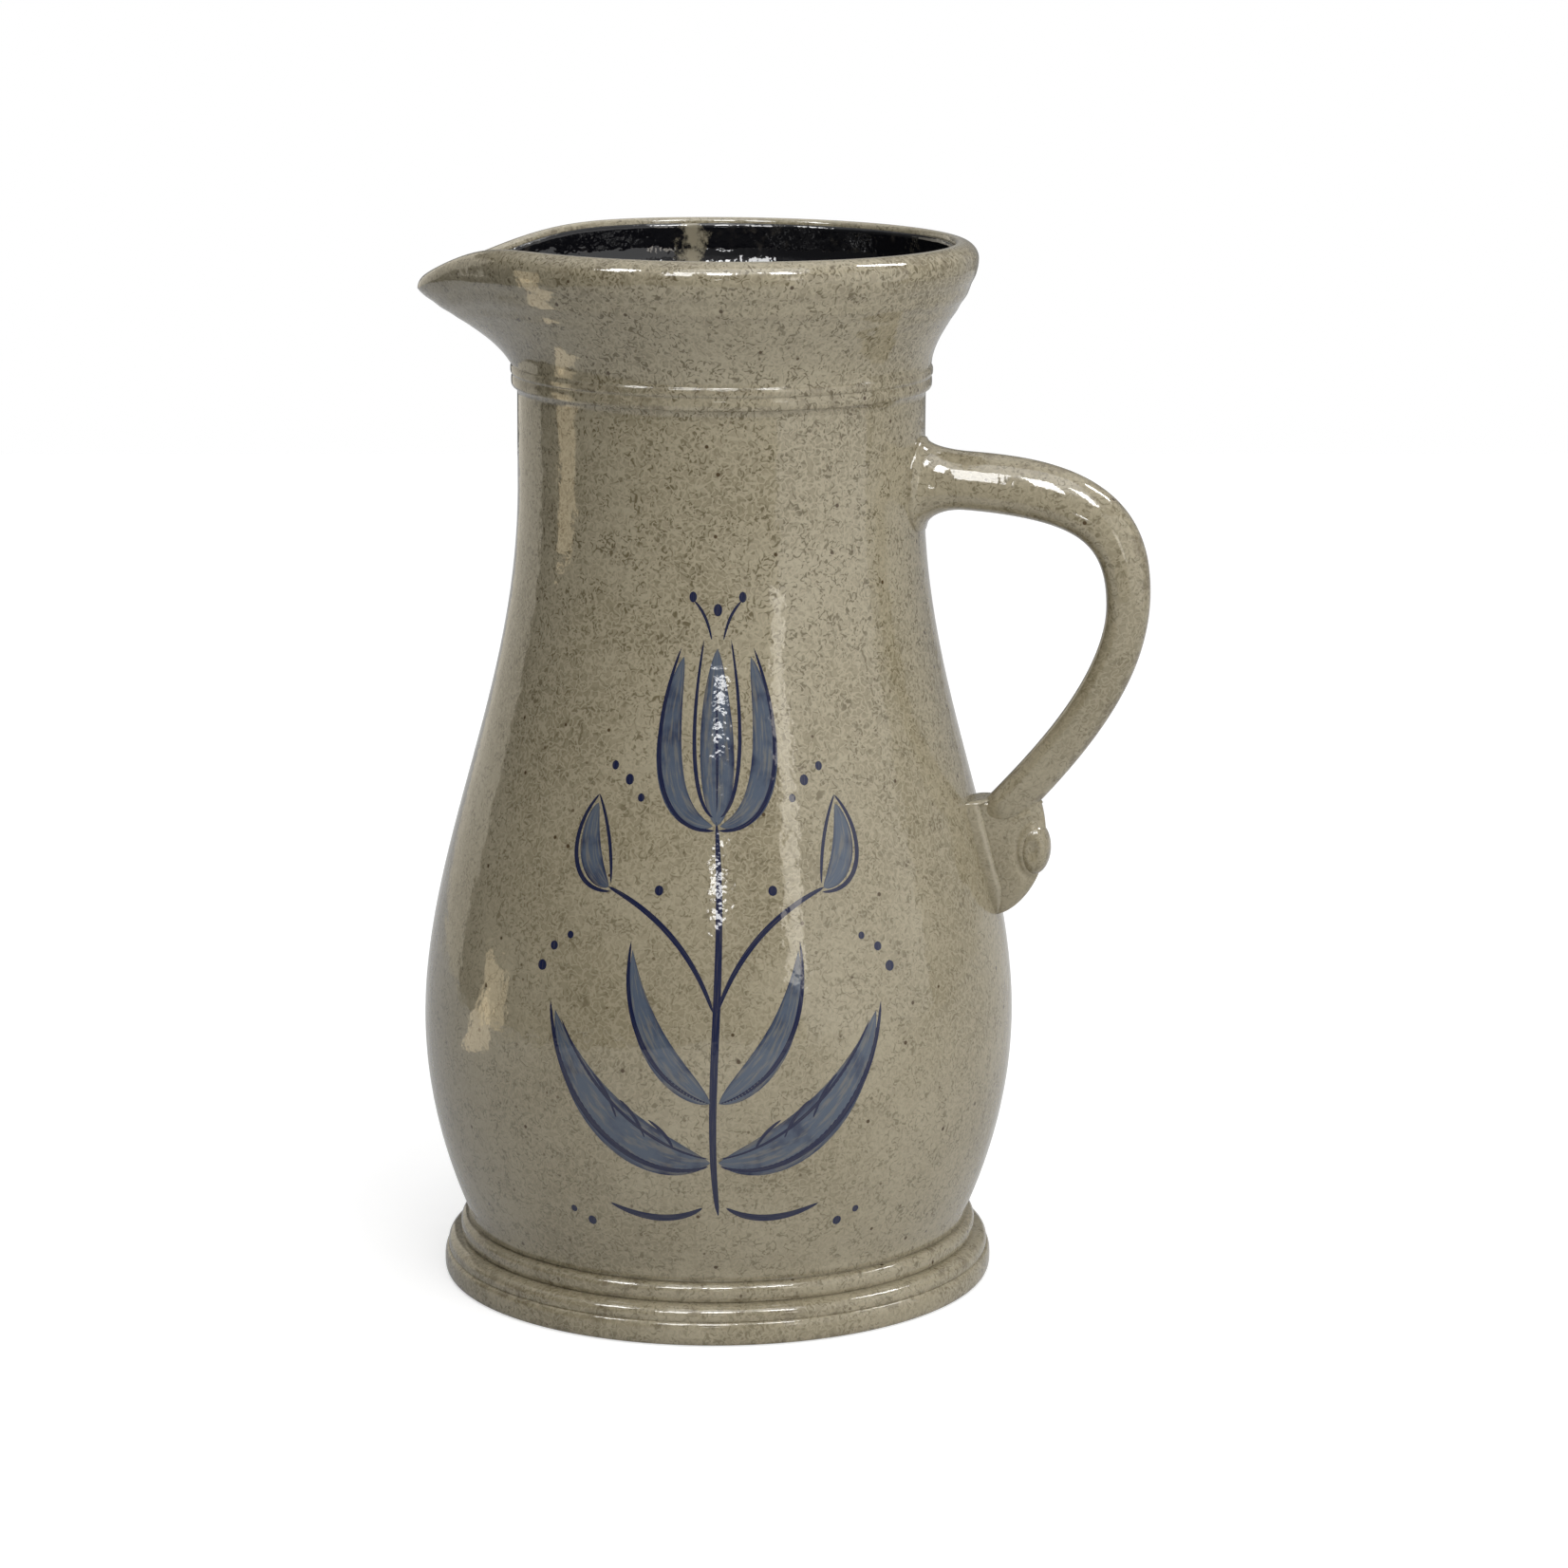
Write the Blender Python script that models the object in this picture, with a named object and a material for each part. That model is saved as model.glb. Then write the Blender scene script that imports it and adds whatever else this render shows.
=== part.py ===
"""Salt-glazed stoneware pitcher: a thrown body set in a moulded foot ring, a neck with a pulled pouring
lip lapped over its top, a dark slip lining, and a pulled handle with its luting coil, terminal and boss.
Sizes are in metres. The axis of the jug is Z, the handle is towards +X and the pouring lip towards -X."""

import math

import bmesh
import bpy
import numpy as np

# Body wall, from the foot ring up to the cordon.
FOOT_HEIGHT = 0.0146
HEEL_RADIUS = 0.0625
BELLY_RISE = 0.0514
BELLY_RADIUS = 0.0739
WAIST_RISE = 0.134
WAIST_RADIUS = 0.0501
SHANK_RISE = 0.024
SHOULDER_SKEW = 0.93
WALL = 0.0055
FLOOR = 0.007
FLOOR_FILLET = 0.009

# Foot ring, luted round the heel of the body: a plinth, a roll and a bead, each with the height and the
# reach out from the heel of its widest part, its crest.
PLINTH_HEIGHT = 0.0057
PLINTH_CREST = 0.0026
PLINTH_TOE = 0.0012
PLINTH_PROUD = 0.0068
PLINTH_SEAM = 0.0003
FOOT_ROLL_HEIGHT = 0.0094
FOOT_ROLL_CREST = 0.0066
FOOT_ROLL_PROUD = 0.0059
GROOVE_PROUD = 0.0013
BEAD_CREST = 0.0118
BEAD_PROUD = 0.0027
HEEL_SHOULDER = 0.0025

# Neck, lapped over a tenon at the top of the body.
TENON_RISE = 0.006
TENON_STEP = 0.0023
CORDON_BAND = 0.0055
CORDON_PROUD = 0.0016
CORDON_GROOVE = 0.0004
FLARE_RISE = 0.0263
FLARE_SPREAD = 0.0125
ROLL_RISE = 0.0042
CREST_INSET = 0.0047
MOUTH_INSET = 0.006
MOUTH_DEPTH = 0.007
CREST_ROUND = 0.0014

# Pouring lip, pulled out of the rim and pressed down.
LIP_REACH = 0.0139
LIP_DROP = 0.010
LIP_SPREAD = 0.40
LIP_THINNING = 0.002

# Dark slip lining, and its clearance, which covers the slant of the lip's channel.
LINING = 0.0008
LINING_GAP = 0.0006
LINING_BELOW_CREST = 0.0018

# Handle: a pulled strap from below the cordon to the terminal above the belly.
ROOT_DROP = 0.021
ROOT_THICKNESS = 0.0142
ROOT_WIDTH = 0.0155
TAIL_THICKNESS = 0.0102
TAIL_WIDTH = 0.0125
HANDLE_REACH = 0.0517
CREST_DROP = 0.0285
TOP_RUN = 0.0345
TOP_BEND = 0.024
SIDE_RUN = 0.018
TAIL_RUN = 0.021
TAIL_ANGLE = math.radians(47.5)
LANDING_RISE = 0.057
LANDING_STANDOFF = 0.0098

# Luting coil round the upper root.
COIL_SPREAD = 0.0075
COIL_LENGTH = 0.0085
COIL_EDGE = 0.0009
COIL_SIDE = 0.4

# Shield-shaped terminal with its flange, and the boss pressed on it.
TERMINAL_LENGTH = 0.0285
TERMINAL_DEPTH = 0.0183
TERMINAL_MARGIN = 0.0004
TERMINAL_TAPER = 0.42
FLANGE_EDGE = 0.0034
BOSS_DROP = 0.0122
BOSS_RADIUS = 0.0048
BOSS_HEIGHT = 0.0024

# The fired jug leans a little towards its handle, as rise per run.
LEAN = 0.0075

# Clearance between neighbouring pieces, and the fineness of the faces.
JOINT_GAP = 0.0003
SEGMENTS = 48
STRAP_SIDES = 16
SQUARENESS = 2.6

# Radii and heights that follow from the sizes above.
FOOT_RADIUS = HEEL_RADIUS + PLINTH_PROUD
FOOT_ROLL_RADIUS = HEEL_RADIUS + FOOT_ROLL_PROUD
GROOVE_RADIUS = HEEL_RADIUS + GROOVE_PROUD
BEAD_RADIUS = HEEL_RADIUS + BEAD_PROUD
CORDON_RADIUS = WAIST_RADIUS + CORDON_PROUD
RIM_RADIUS = WAIST_RADIUS + FLARE_SPREAD
BELLY_Z = FOOT_HEIGHT + BELLY_RISE
WAIST_Z = BELLY_Z + WAIST_RISE
CORDON_Z = WAIST_Z + SHANK_RISE
TENON_Z = CORDON_Z + TENON_RISE
FLARE_Z = CORDON_Z + CORDON_BAND
WIDEST_Z = FLARE_Z + FLARE_RISE
RIM_Z = WIDEST_Z + ROLL_RISE
ROOT_Z = CORDON_Z - ROOT_DROP
LANDING_Z = BELLY_Z + LANDING_RISE

STONEWARE = ("stoneware_glaze", (0.30, 0.265, 0.185), 0.22)
DARK_SLIP = ("dark_slip_glaze", (0.010, 0.010, 0.013), 0.12)


def clear_scene():
    for obj in list(bpy.data.objects):
        bpy.data.objects.remove(obj, do_unlink=True)


def glaze(name, colour, roughness):
    material = bpy.data.materials.new(name)
    material.use_nodes = True
    shader = material.node_tree.nodes["Principled BSDF"]
    shader.inputs["Base Color"].default_value = (*colour, 1.0)
    shader.inputs["Roughness"].default_value = roughness
    shader.inputs["Metallic"].default_value = 0.0
    return material


def leaned(points):
    """The points with the jug's lean: each height moves towards the handle, and the rim tips with it."""
    x, y, z = points[..., 0], points[..., 1], points[..., 2]
    return np.stack([x + LEAN * z, y, z - LEAN * x * z / RIM_Z], axis=-1)


def add_solid(name, rings, finish, ends=None):
    """One closed solid from rows of rings. With ends, a pole point closes the first and last rows;
    without, the last row joins the first."""
    rows, sides = rings.shape[:2]
    mesh = bmesh.new()
    grid = [[mesh.verts.new(point) for point in row] for row in leaned(rings)]
    for i in range(rows if ends is None else rows - 1):
        row, following = grid[i], grid[(i + 1) % rows]
        for j in range(sides):
            k = (j + 1) % sides
            mesh.faces.new((row[j], row[k], following[k], following[j]))
    if ends is not None:
        for row, end in zip((grid[0], grid[-1]), leaned(np.array(ends))):
            pole = mesh.verts.new(end)
            for j in range(sides):
                mesh.faces.new((row[j], row[(j + 1) % sides], pole))
    bmesh.ops.recalc_face_normals(mesh, faces=mesh.faces)
    data = bpy.data.meshes.new(name)
    mesh.to_mesh(data)
    mesh.free()
    data.materials.append(glaze(f"{name}_{finish[0]}", *finish[1:]))
    data.shade_smooth()
    data.set_sharp_from_angle(angle=math.radians(35))
    obj = bpy.data.objects.new(name, data)
    bpy.context.collection.objects.link(obj)
    return obj


def smooth(u):
    """0 to 1 with level ends."""
    u = np.clip(u, 0.0, 1.0)
    return u * u * (3.0 - 2.0 * u)


def rounded(angle):
    """Cosine and sine of a circle pressed towards a square."""
    c, s = np.cos(angle), np.sin(angle)
    power = 2.0 / SQUARENESS
    return np.sign(c) * np.abs(c) ** power, np.sign(s) * np.abs(s) ** power


def bulge(inner, outer, low, high, count):
    """A half-round moulding between two heights, as (radius, height) rows going up."""
    out, along = rounded(np.linspace(-math.pi / 2, math.pi / 2, count))
    return np.stack([inner + (outer - inner) * out, (low + high) / 2 + (high - low) / 2 * along], axis=-1)


def swell(low, crest, high):
    """A moulding as (radius, height) rows going up: a rounded quarter out to its crest, another back in."""
    out, along = rounded(np.linspace(-math.pi / 2, 0.0, 5))
    under = np.stack([low[0] + (crest[0] - low[0]) * out, crest[1] + (crest[1] - low[1]) * along], axis=-1)
    out, along = rounded(np.linspace(0.0, math.pi / 2, 5)[1:])
    over = np.stack([high[0] + (crest[0] - high[0]) * out, crest[1] + (high[1] - crest[1]) * along], axis=-1)
    return np.concatenate([under, over])


def wall_radius(z):
    """Outer radius of the body: a parabola from heel to belly, then a skewed half wave in to the waist."""
    below = np.clip((BELLY_Z - z) / BELLY_RISE, 0.0, 1.0)
    above = np.clip((z - BELLY_Z) / WAIST_RISE, 0.0, 1.0) ** SHOULDER_SKEW
    middle, swing = (BELLY_RADIUS + WAIST_RADIUS) / 2, (BELLY_RADIUS - WAIST_RADIUS) / 2
    shoulder = middle + swing * np.cos(math.pi * above)
    return np.where(z < BELLY_Z, BELLY_RADIUS - (BELLY_RADIUS - HEEL_RADIUS) * below**2, shoulder)


def wall_face(y, z):
    """X of the outer wall's face on the handle's side, at a sideways place and a height."""
    return np.sqrt((wall_radius(z) + JOINT_GAP) ** 2 - y**2)


def inside_of_body(inset):
    """Rows (radius, height) up the inside of the body, this far in from the clay."""
    low = FLOOR + FLOOR_FILLET
    corner = wall_radius(low) - WALL - FLOOR_FILLET
    turn = np.linspace(-math.pi / 2, 0.0, 4)
    reach = FLOOR_FILLET - inset
    fillet = np.stack([corner + reach * np.cos(turn), low + reach * np.sin(turn)], axis=-1)
    z = np.concatenate([np.linspace(low, WAIST_Z, 10)[1:], [CORDON_Z, TENON_Z]])
    wall = np.stack([wall_radius(z) - WALL - inset, z], axis=-1)
    return np.concatenate([fillet, wall])


def inside_of_neck(inset):
    """Rows (radius, height) up the inside of the neck to just under the crest, this far in from the clay."""
    bottom, top = TENON_Z + JOINT_GAP, RIM_Z - MOUTH_DEPTH
    u = np.linspace(0.0, 1.0, 8)
    throat, mouth = WAIST_RADIUS - WALL, RIM_RADIUS - MOUTH_INSET
    flare = np.stack([throat + (mouth - throat) * smooth(u), bottom + (top - bottom) * u], axis=-1)
    edge = [[mouth, RIM_Z - LINING_BELOW_CREST]]
    return np.concatenate([flare, edge]) - [inset, 0.0]


def turned(profile, reach=LIP_REACH):
    """Rings round the axis for (radius, height) rows. Above the cordon, the side towards -X is pulled out
    and pressed down in a bell-shaped bump round that side, growing towards the rim."""
    angle = np.linspace(0.0, 2 * math.pi, SEGMENTS, endpoint=False)
    bump = np.exp(-(((angle - math.pi) / LIP_SPREAD) ** 2))
    radius, height = profile[:, :1], profile[:, 1:]
    rise = np.clip((height - FLARE_Z) / FLARE_RISE, 0.0, 1.0)
    r = radius + reach * bump * rise**0.72
    z = height - LIP_DROP * bump * rise**1.35
    return np.stack([r * np.cos(angle), r * np.sin(angle), z + 0 * r], axis=-1)


def make_body():
    seat, tenon = HEEL_RADIUS - HEEL_SHOULDER, WAIST_RADIUS - TENON_STEP
    z = np.concatenate([np.linspace(FOOT_HEIGHT, WAIST_Z, 15), [CORDON_Z]])
    wall = np.stack([wall_radius(z), z], axis=-1)
    outer = np.concatenate([[[seat, 0.0], [seat, FOOT_HEIGHT]], wall, [[tenon, CORDON_Z], [tenon, TENON_Z]]])
    profile = np.concatenate([outer, inside_of_body(0.0)[::-1]])
    add_solid("thrown_body", turned(profile), STONEWARE, ends=((0, 0, 0), (0, 0, FLOOR)))


def make_foot_ring():
    bore, top = HEEL_RADIUS - HEEL_SHOULDER + JOINT_GAP, FOOT_HEIGHT - JOINT_GAP
    toe, seam = FOOT_RADIUS - PLINTH_TOE, FOOT_ROLL_RADIUS - PLINTH_SEAM
    plinth = swell((toe, 0.0), (FOOT_RADIUS, PLINTH_CREST), (seam, PLINTH_HEIGHT))
    groove = (GROOVE_RADIUS, FOOT_ROLL_HEIGHT)
    roll = swell((seam, PLINTH_HEIGHT), (FOOT_ROLL_RADIUS, FOOT_ROLL_CREST), groove)
    bead = swell(groove, (BEAD_RADIUS, BEAD_CREST), (HEEL_RADIUS, top))
    profile = np.concatenate([[[bore, 0.0]], plinth, roll[1:], bead[1:], [[bore, top]]])
    add_solid("foot_ring", turned(profile), STONEWARE)


def make_neck():
    low, socket = CORDON_Z + JOINT_GAP, WAIST_RADIUS - TENON_STEP + JOINT_GAP
    groove, crest = CORDON_RADIUS - CORDON_GROOVE, RIM_RADIUS - CREST_INSET
    cordon = bulge(groove, CORDON_RADIUS, low, FLARE_Z, 6)
    u = np.linspace(0.0, 1.0, 9)[1:]
    flare = np.stack([groove + (RIM_RADIUS - groove) * smooth(u), FLARE_Z + FLARE_RISE * u], axis=-1)
    turn = np.linspace(0.0, math.pi / 2, 5)[1:]
    roll = np.stack([crest + CREST_INSET * np.cos(turn), WIDEST_Z + ROLL_RISE * np.sin(turn)], axis=-1)
    outer = turned(np.concatenate([cordon, flare, roll]))
    rounding = [[crest - CREST_ROUND * 0.7, RIM_Z - CREST_ROUND * 0.3]]
    inner = np.concatenate([rounding, inside_of_neck(0.0)[::-1]])
    joint = np.array([[socket, TENON_Z + JOINT_GAP], [socket, low]])
    inside = turned(np.concatenate([inner, joint]), LIP_REACH + LIP_THINNING)
    add_solid("neck_section", np.concatenate([outer, inside]), STONEWARE)


def make_lining():
    sides = []
    for inset in (LINING_GAP, LINING_GAP + LINING):
        path = np.concatenate([inside_of_body(inset), inside_of_neck(inset)])
        sides.append(turned(path, LIP_REACH + LIP_THINNING))
    ends = ((0, 0, FLOOR + LINING_GAP), (0, 0, FLOOR + LINING_GAP + LINING))
    add_solid("slip_lining", np.concatenate([sides[0], sides[1][::-1]]), DARK_SLIP, ends=ends)


def bezier(controls, count):
    t = np.linspace(0.0, 1.0, count)[:, None]
    a, b, c, d = (np.array(point) for point in controls)
    return (1 - t) ** 3 * a + 3 * (1 - t) ** 2 * t * b + 3 * (1 - t) * t**2 * c + t**3 * d


def handle_path():
    """Centre line of the strap as (x, z) rows: out from the neck, round the bend and down to the terminal."""
    root = (float(wall_radius(ROOT_Z)) + JOINT_GAP, ROOT_Z)
    bend = (WAIST_RADIUS + HANDLE_REACH, ROOT_Z - CREST_DROP)
    landing = (float(wall_radius(LANDING_Z)) + LANDING_STANDOFF, LANDING_Z + JOINT_GAP)
    tail = (landing[0] + TAIL_RUN * math.cos(TAIL_ANGLE), landing[1] + TAIL_RUN * math.sin(TAIL_ANGLE))
    upper = (root, (root[0] + TOP_RUN, ROOT_Z), (bend[0], bend[1] + TOP_BEND), bend)
    lower = (bend, (bend[0], bend[1] - SIDE_RUN), tail, landing)
    return np.concatenate([bezier(upper, 13), bezier(lower, 14)[1:]])


def make_handle():
    path = handle_path()
    step = np.gradient(path, axis=0)
    step /= np.linalg.norm(step, axis=1, keepdims=True)
    share = smooth(np.linspace(-0.25, 1.9, len(path)))[:, None]
    thickness = ROOT_THICKNESS + (TAIL_THICKNESS - ROOT_THICKNESS) * share
    width = ROOT_WIDTH + (TAIL_WIDTH - ROOT_WIDTH) * share
    up, side = rounded(np.linspace(0.0, 2 * math.pi, STRAP_SIDES, endpoint=False))
    away = thickness / 2 * up
    x = path[:, :1] - step[:, 1:] * away
    z = path[:, 1:] + step[:, :1] * away
    y = width / 2 * side
    x[0] = wall_face(y[0], z[0])
    slide = (LANDING_Z + JOINT_GAP - z[-1]) / step[-1, 1]
    x[-1] += step[-1, 0] * slide
    z[-1] += step[-1, 1] * slide
    rings = np.stack([x, y, z], axis=-1)
    root = (float(wall_face(0.0, ROOT_Z)), 0.0, ROOT_Z)
    add_solid("handle", rings, STONEWARE, ends=(root, rings[-1].mean(axis=0)))


def make_root_coil():
    """A bead of clay round the root, as rows of (spread from the strap, height off the wall). It spreads
    less to the sides than up and down."""
    turn = np.linspace(0.0, math.pi / 2, 5)
    spread = COIL_SPREAD * (1.0 - np.sin(turn)) + COIL_EDGE
    outer = np.stack([spread, COIL_LENGTH * (1.0 - np.cos(turn))], axis=-1)
    rows = np.concatenate([[[JOINT_GAP, 0.0]], outer, [[JOINT_GAP, COIL_LENGTH]]])
    up, side = rounded(np.linspace(0.0, 2 * math.pi, STRAP_SIDES, endpoint=False))
    spread, height = rows[:, :1], rows[:, 1:]
    y = (ROOT_WIDTH / 2 + JOINT_GAP + COIL_SIDE * (spread - JOINT_GAP)) * side
    z = ROOT_Z + (ROOT_THICKNESS / 2 + spread) * up
    add_solid("root_coil", np.stack([wall_face(y, z) + height, y, z], axis=-1), STONEWARE)


def terminal_size(z):
    """Half width and depth off the wall of the terminal at a height: a shield narrowing to its lower tip."""
    u = np.clip((LANDING_Z - z) / TERMINAL_LENGTH, 0.0, 1.0)
    half = (TAIL_WIDTH / 2 + TERMINAL_MARGIN) * np.sqrt(1.0 - u**3)
    depth = TERMINAL_DEPTH * (1.0 - TERMINAL_TAPER * u) * np.sqrt(1.0 - u**4)
    return half, depth


def terminal_face(y, z):
    """X of the terminal's rounded outer face."""
    half, depth = terminal_size(z)
    flange = np.minimum(FLANGE_EDGE, depth / 3)
    crown = np.maximum(1.0 - (np.abs(y) / half) ** SQUARENESS, 0.0) ** (1.0 / SQUARENESS)
    return wall_face(y, z) + flange + (depth - flange) * crown


def make_terminal():
    z = LANDING_Z - TERMINAL_LENGTH * np.sin(np.linspace(0.0, 0.45 * math.pi, 12))[:, None]
    half, depth = terminal_size(z)
    flange = np.minimum(FLANGE_EDGE, depth / 3)
    across = np.sin(np.linspace(-math.pi / 2, math.pi / 2, 13))
    front_y = half * across * 0.999
    front_x = terminal_face(front_y, z + 0 * front_y)
    rim_y = (half + flange) * np.array([1.0, 1.0, 0.5, -0.5, -1.0, -1.0])
    rim_x = wall_face(rim_y, z + 0 * rim_y)
    rim_x[:, [0, -1]] += 0.7 * flange
    x = np.concatenate([front_x, rim_x], axis=1)
    y = np.concatenate([front_y, rim_y], axis=1)
    rings = np.stack([x, y, z + 0 * x], axis=-1)
    add_solid("lower_terminal", rings, STONEWARE, ends=(rings[0].mean(axis=0), rings[-1].mean(axis=0)))


def make_boss():
    """A domed pellet whose back follows the terminal's face: rows go out over the back, then over the
    dome."""
    centre = LANDING_Z - BOSS_DROP
    turn = np.linspace(0.0, 0.45 * math.pi, 6)
    radius = BOSS_RADIUS * np.concatenate([[0.35, 0.7, 0.97], np.cos(turn)])[:, None]
    height = BOSS_HEIGHT * np.concatenate([[0.0, 0.0, 0.0], 0.12 + 0.88 * np.sin(turn)])[:, None]
    angle = np.linspace(0.0, 2 * math.pi, STRAP_SIDES, endpoint=False)
    y, z = radius * np.cos(angle), centre + radius * np.sin(angle)
    x = terminal_face(y, z) + JOINT_GAP + height
    face = float(terminal_face(0.0, centre)) + JOINT_GAP
    ends = ((face, 0.0, centre), (face + BOSS_HEIGHT, 0.0, centre))
    add_solid("terminal_boss", np.stack([x, y, z], axis=-1), STONEWARE, ends=ends)


def main():
    clear_scene()
    make_body()
    make_foot_ring()
    make_neck()
    make_lining()
    make_handle()
    make_root_coil()
    make_terminal()
    make_boss()


main()
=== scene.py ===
"""Salt-glazed stoneware pitcher with a dark slip lining and a cobalt spray, set up as in its photograph.

Each surface is worked out with numpy as a function of two parameters, and each finish is a node material.
Lengths are in metres. The turned axis is Z, the handle is towards +X and the pouring lip towards -X."""

import math

import bpy
import numpy as np
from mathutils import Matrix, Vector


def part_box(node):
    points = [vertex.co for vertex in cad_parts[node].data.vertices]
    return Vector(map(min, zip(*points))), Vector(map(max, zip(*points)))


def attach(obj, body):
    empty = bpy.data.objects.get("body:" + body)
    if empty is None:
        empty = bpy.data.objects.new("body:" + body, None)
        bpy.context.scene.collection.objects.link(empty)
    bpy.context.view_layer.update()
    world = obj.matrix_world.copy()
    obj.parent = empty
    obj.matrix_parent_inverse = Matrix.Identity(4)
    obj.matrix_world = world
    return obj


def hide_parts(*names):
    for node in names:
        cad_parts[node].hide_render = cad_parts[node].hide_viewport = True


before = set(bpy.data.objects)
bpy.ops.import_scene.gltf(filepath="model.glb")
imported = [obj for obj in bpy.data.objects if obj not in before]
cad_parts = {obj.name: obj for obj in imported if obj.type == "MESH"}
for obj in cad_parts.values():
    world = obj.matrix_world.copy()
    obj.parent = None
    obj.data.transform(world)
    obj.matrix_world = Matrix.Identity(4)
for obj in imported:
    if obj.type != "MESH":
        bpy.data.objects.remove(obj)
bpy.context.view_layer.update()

bl_info = {
    "name": "Stoneware Pitcher",
    "version": (1, 0, 0),
    "blender": (4, 5, 0),
    "location": "View3D > Sidebar > Pitcher",
    "description": "Builds a salt-glazed pitcher over its packed frame, with its finishes and its studio",
    "category": "Object",
}

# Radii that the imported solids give.
FOOT_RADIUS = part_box("foot_ring")[1].y
BELLY_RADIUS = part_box("thrown_body")[1].y
RIM_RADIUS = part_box("neck_section")[1].y

# The jug's lean, the squareness of its mouldings, and, in metres, the first ring round a pole, the last ring
# before an edge, and a hair's breadth between faces that would otherwise meet.
LEAN = 0.0075
SQUARENESS = 2.6
POLE_RING, EDGE_RING, HAIR = 0.004, 0.0008, 0.0001

# Points round and along the pieces.
WALL_SEGMENTS, LINING_SEGMENTS, STRAP_SEGMENTS, BOSS_SEGMENTS = 252, 240, 64, 56
STRAP_ROWS, ROOT_ROWS, TAIL_ROWS, TERMINAL_ROWS = 70, 24, 12, 110

# Section of a brush stroke: places across it, as shares of its half width, and heights off the glaze.
STROKE_SIDE = (1.0, 0.95, 0.5, 0.0, -0.5, -0.95, -1.0, -0.5, 0.5)
STROKE_LIFT = (-0.00002, 0.000032, 0.00004, 0.00004, 0.00004, 0.000032, -0.00002, -0.00018, -0.00018)


def length(name, description, default):
    """A length property, in metres."""
    return bpy.props.FloatProperty(
        name=name, description=description, default=default, unit="LENGTH", precision=5
    )


def number(name, description, default):
    """A plain number property."""
    return bpy.props.FloatProperty(name=name, description=description, default=default, precision=4)


def turn(name, description, degrees):
    """An angle property, given in degrees."""
    return bpy.props.FloatProperty(
        name=name, description=description, default=math.radians(degrees), subtype="ANGLE"
    )


def colour(name, description, default):
    """A linear colour property."""
    return bpy.props.FloatVectorProperty(
        name=name, description=description, default=default, size=3, subtype="COLOR", min=0.0, max=1.0
    )


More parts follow.
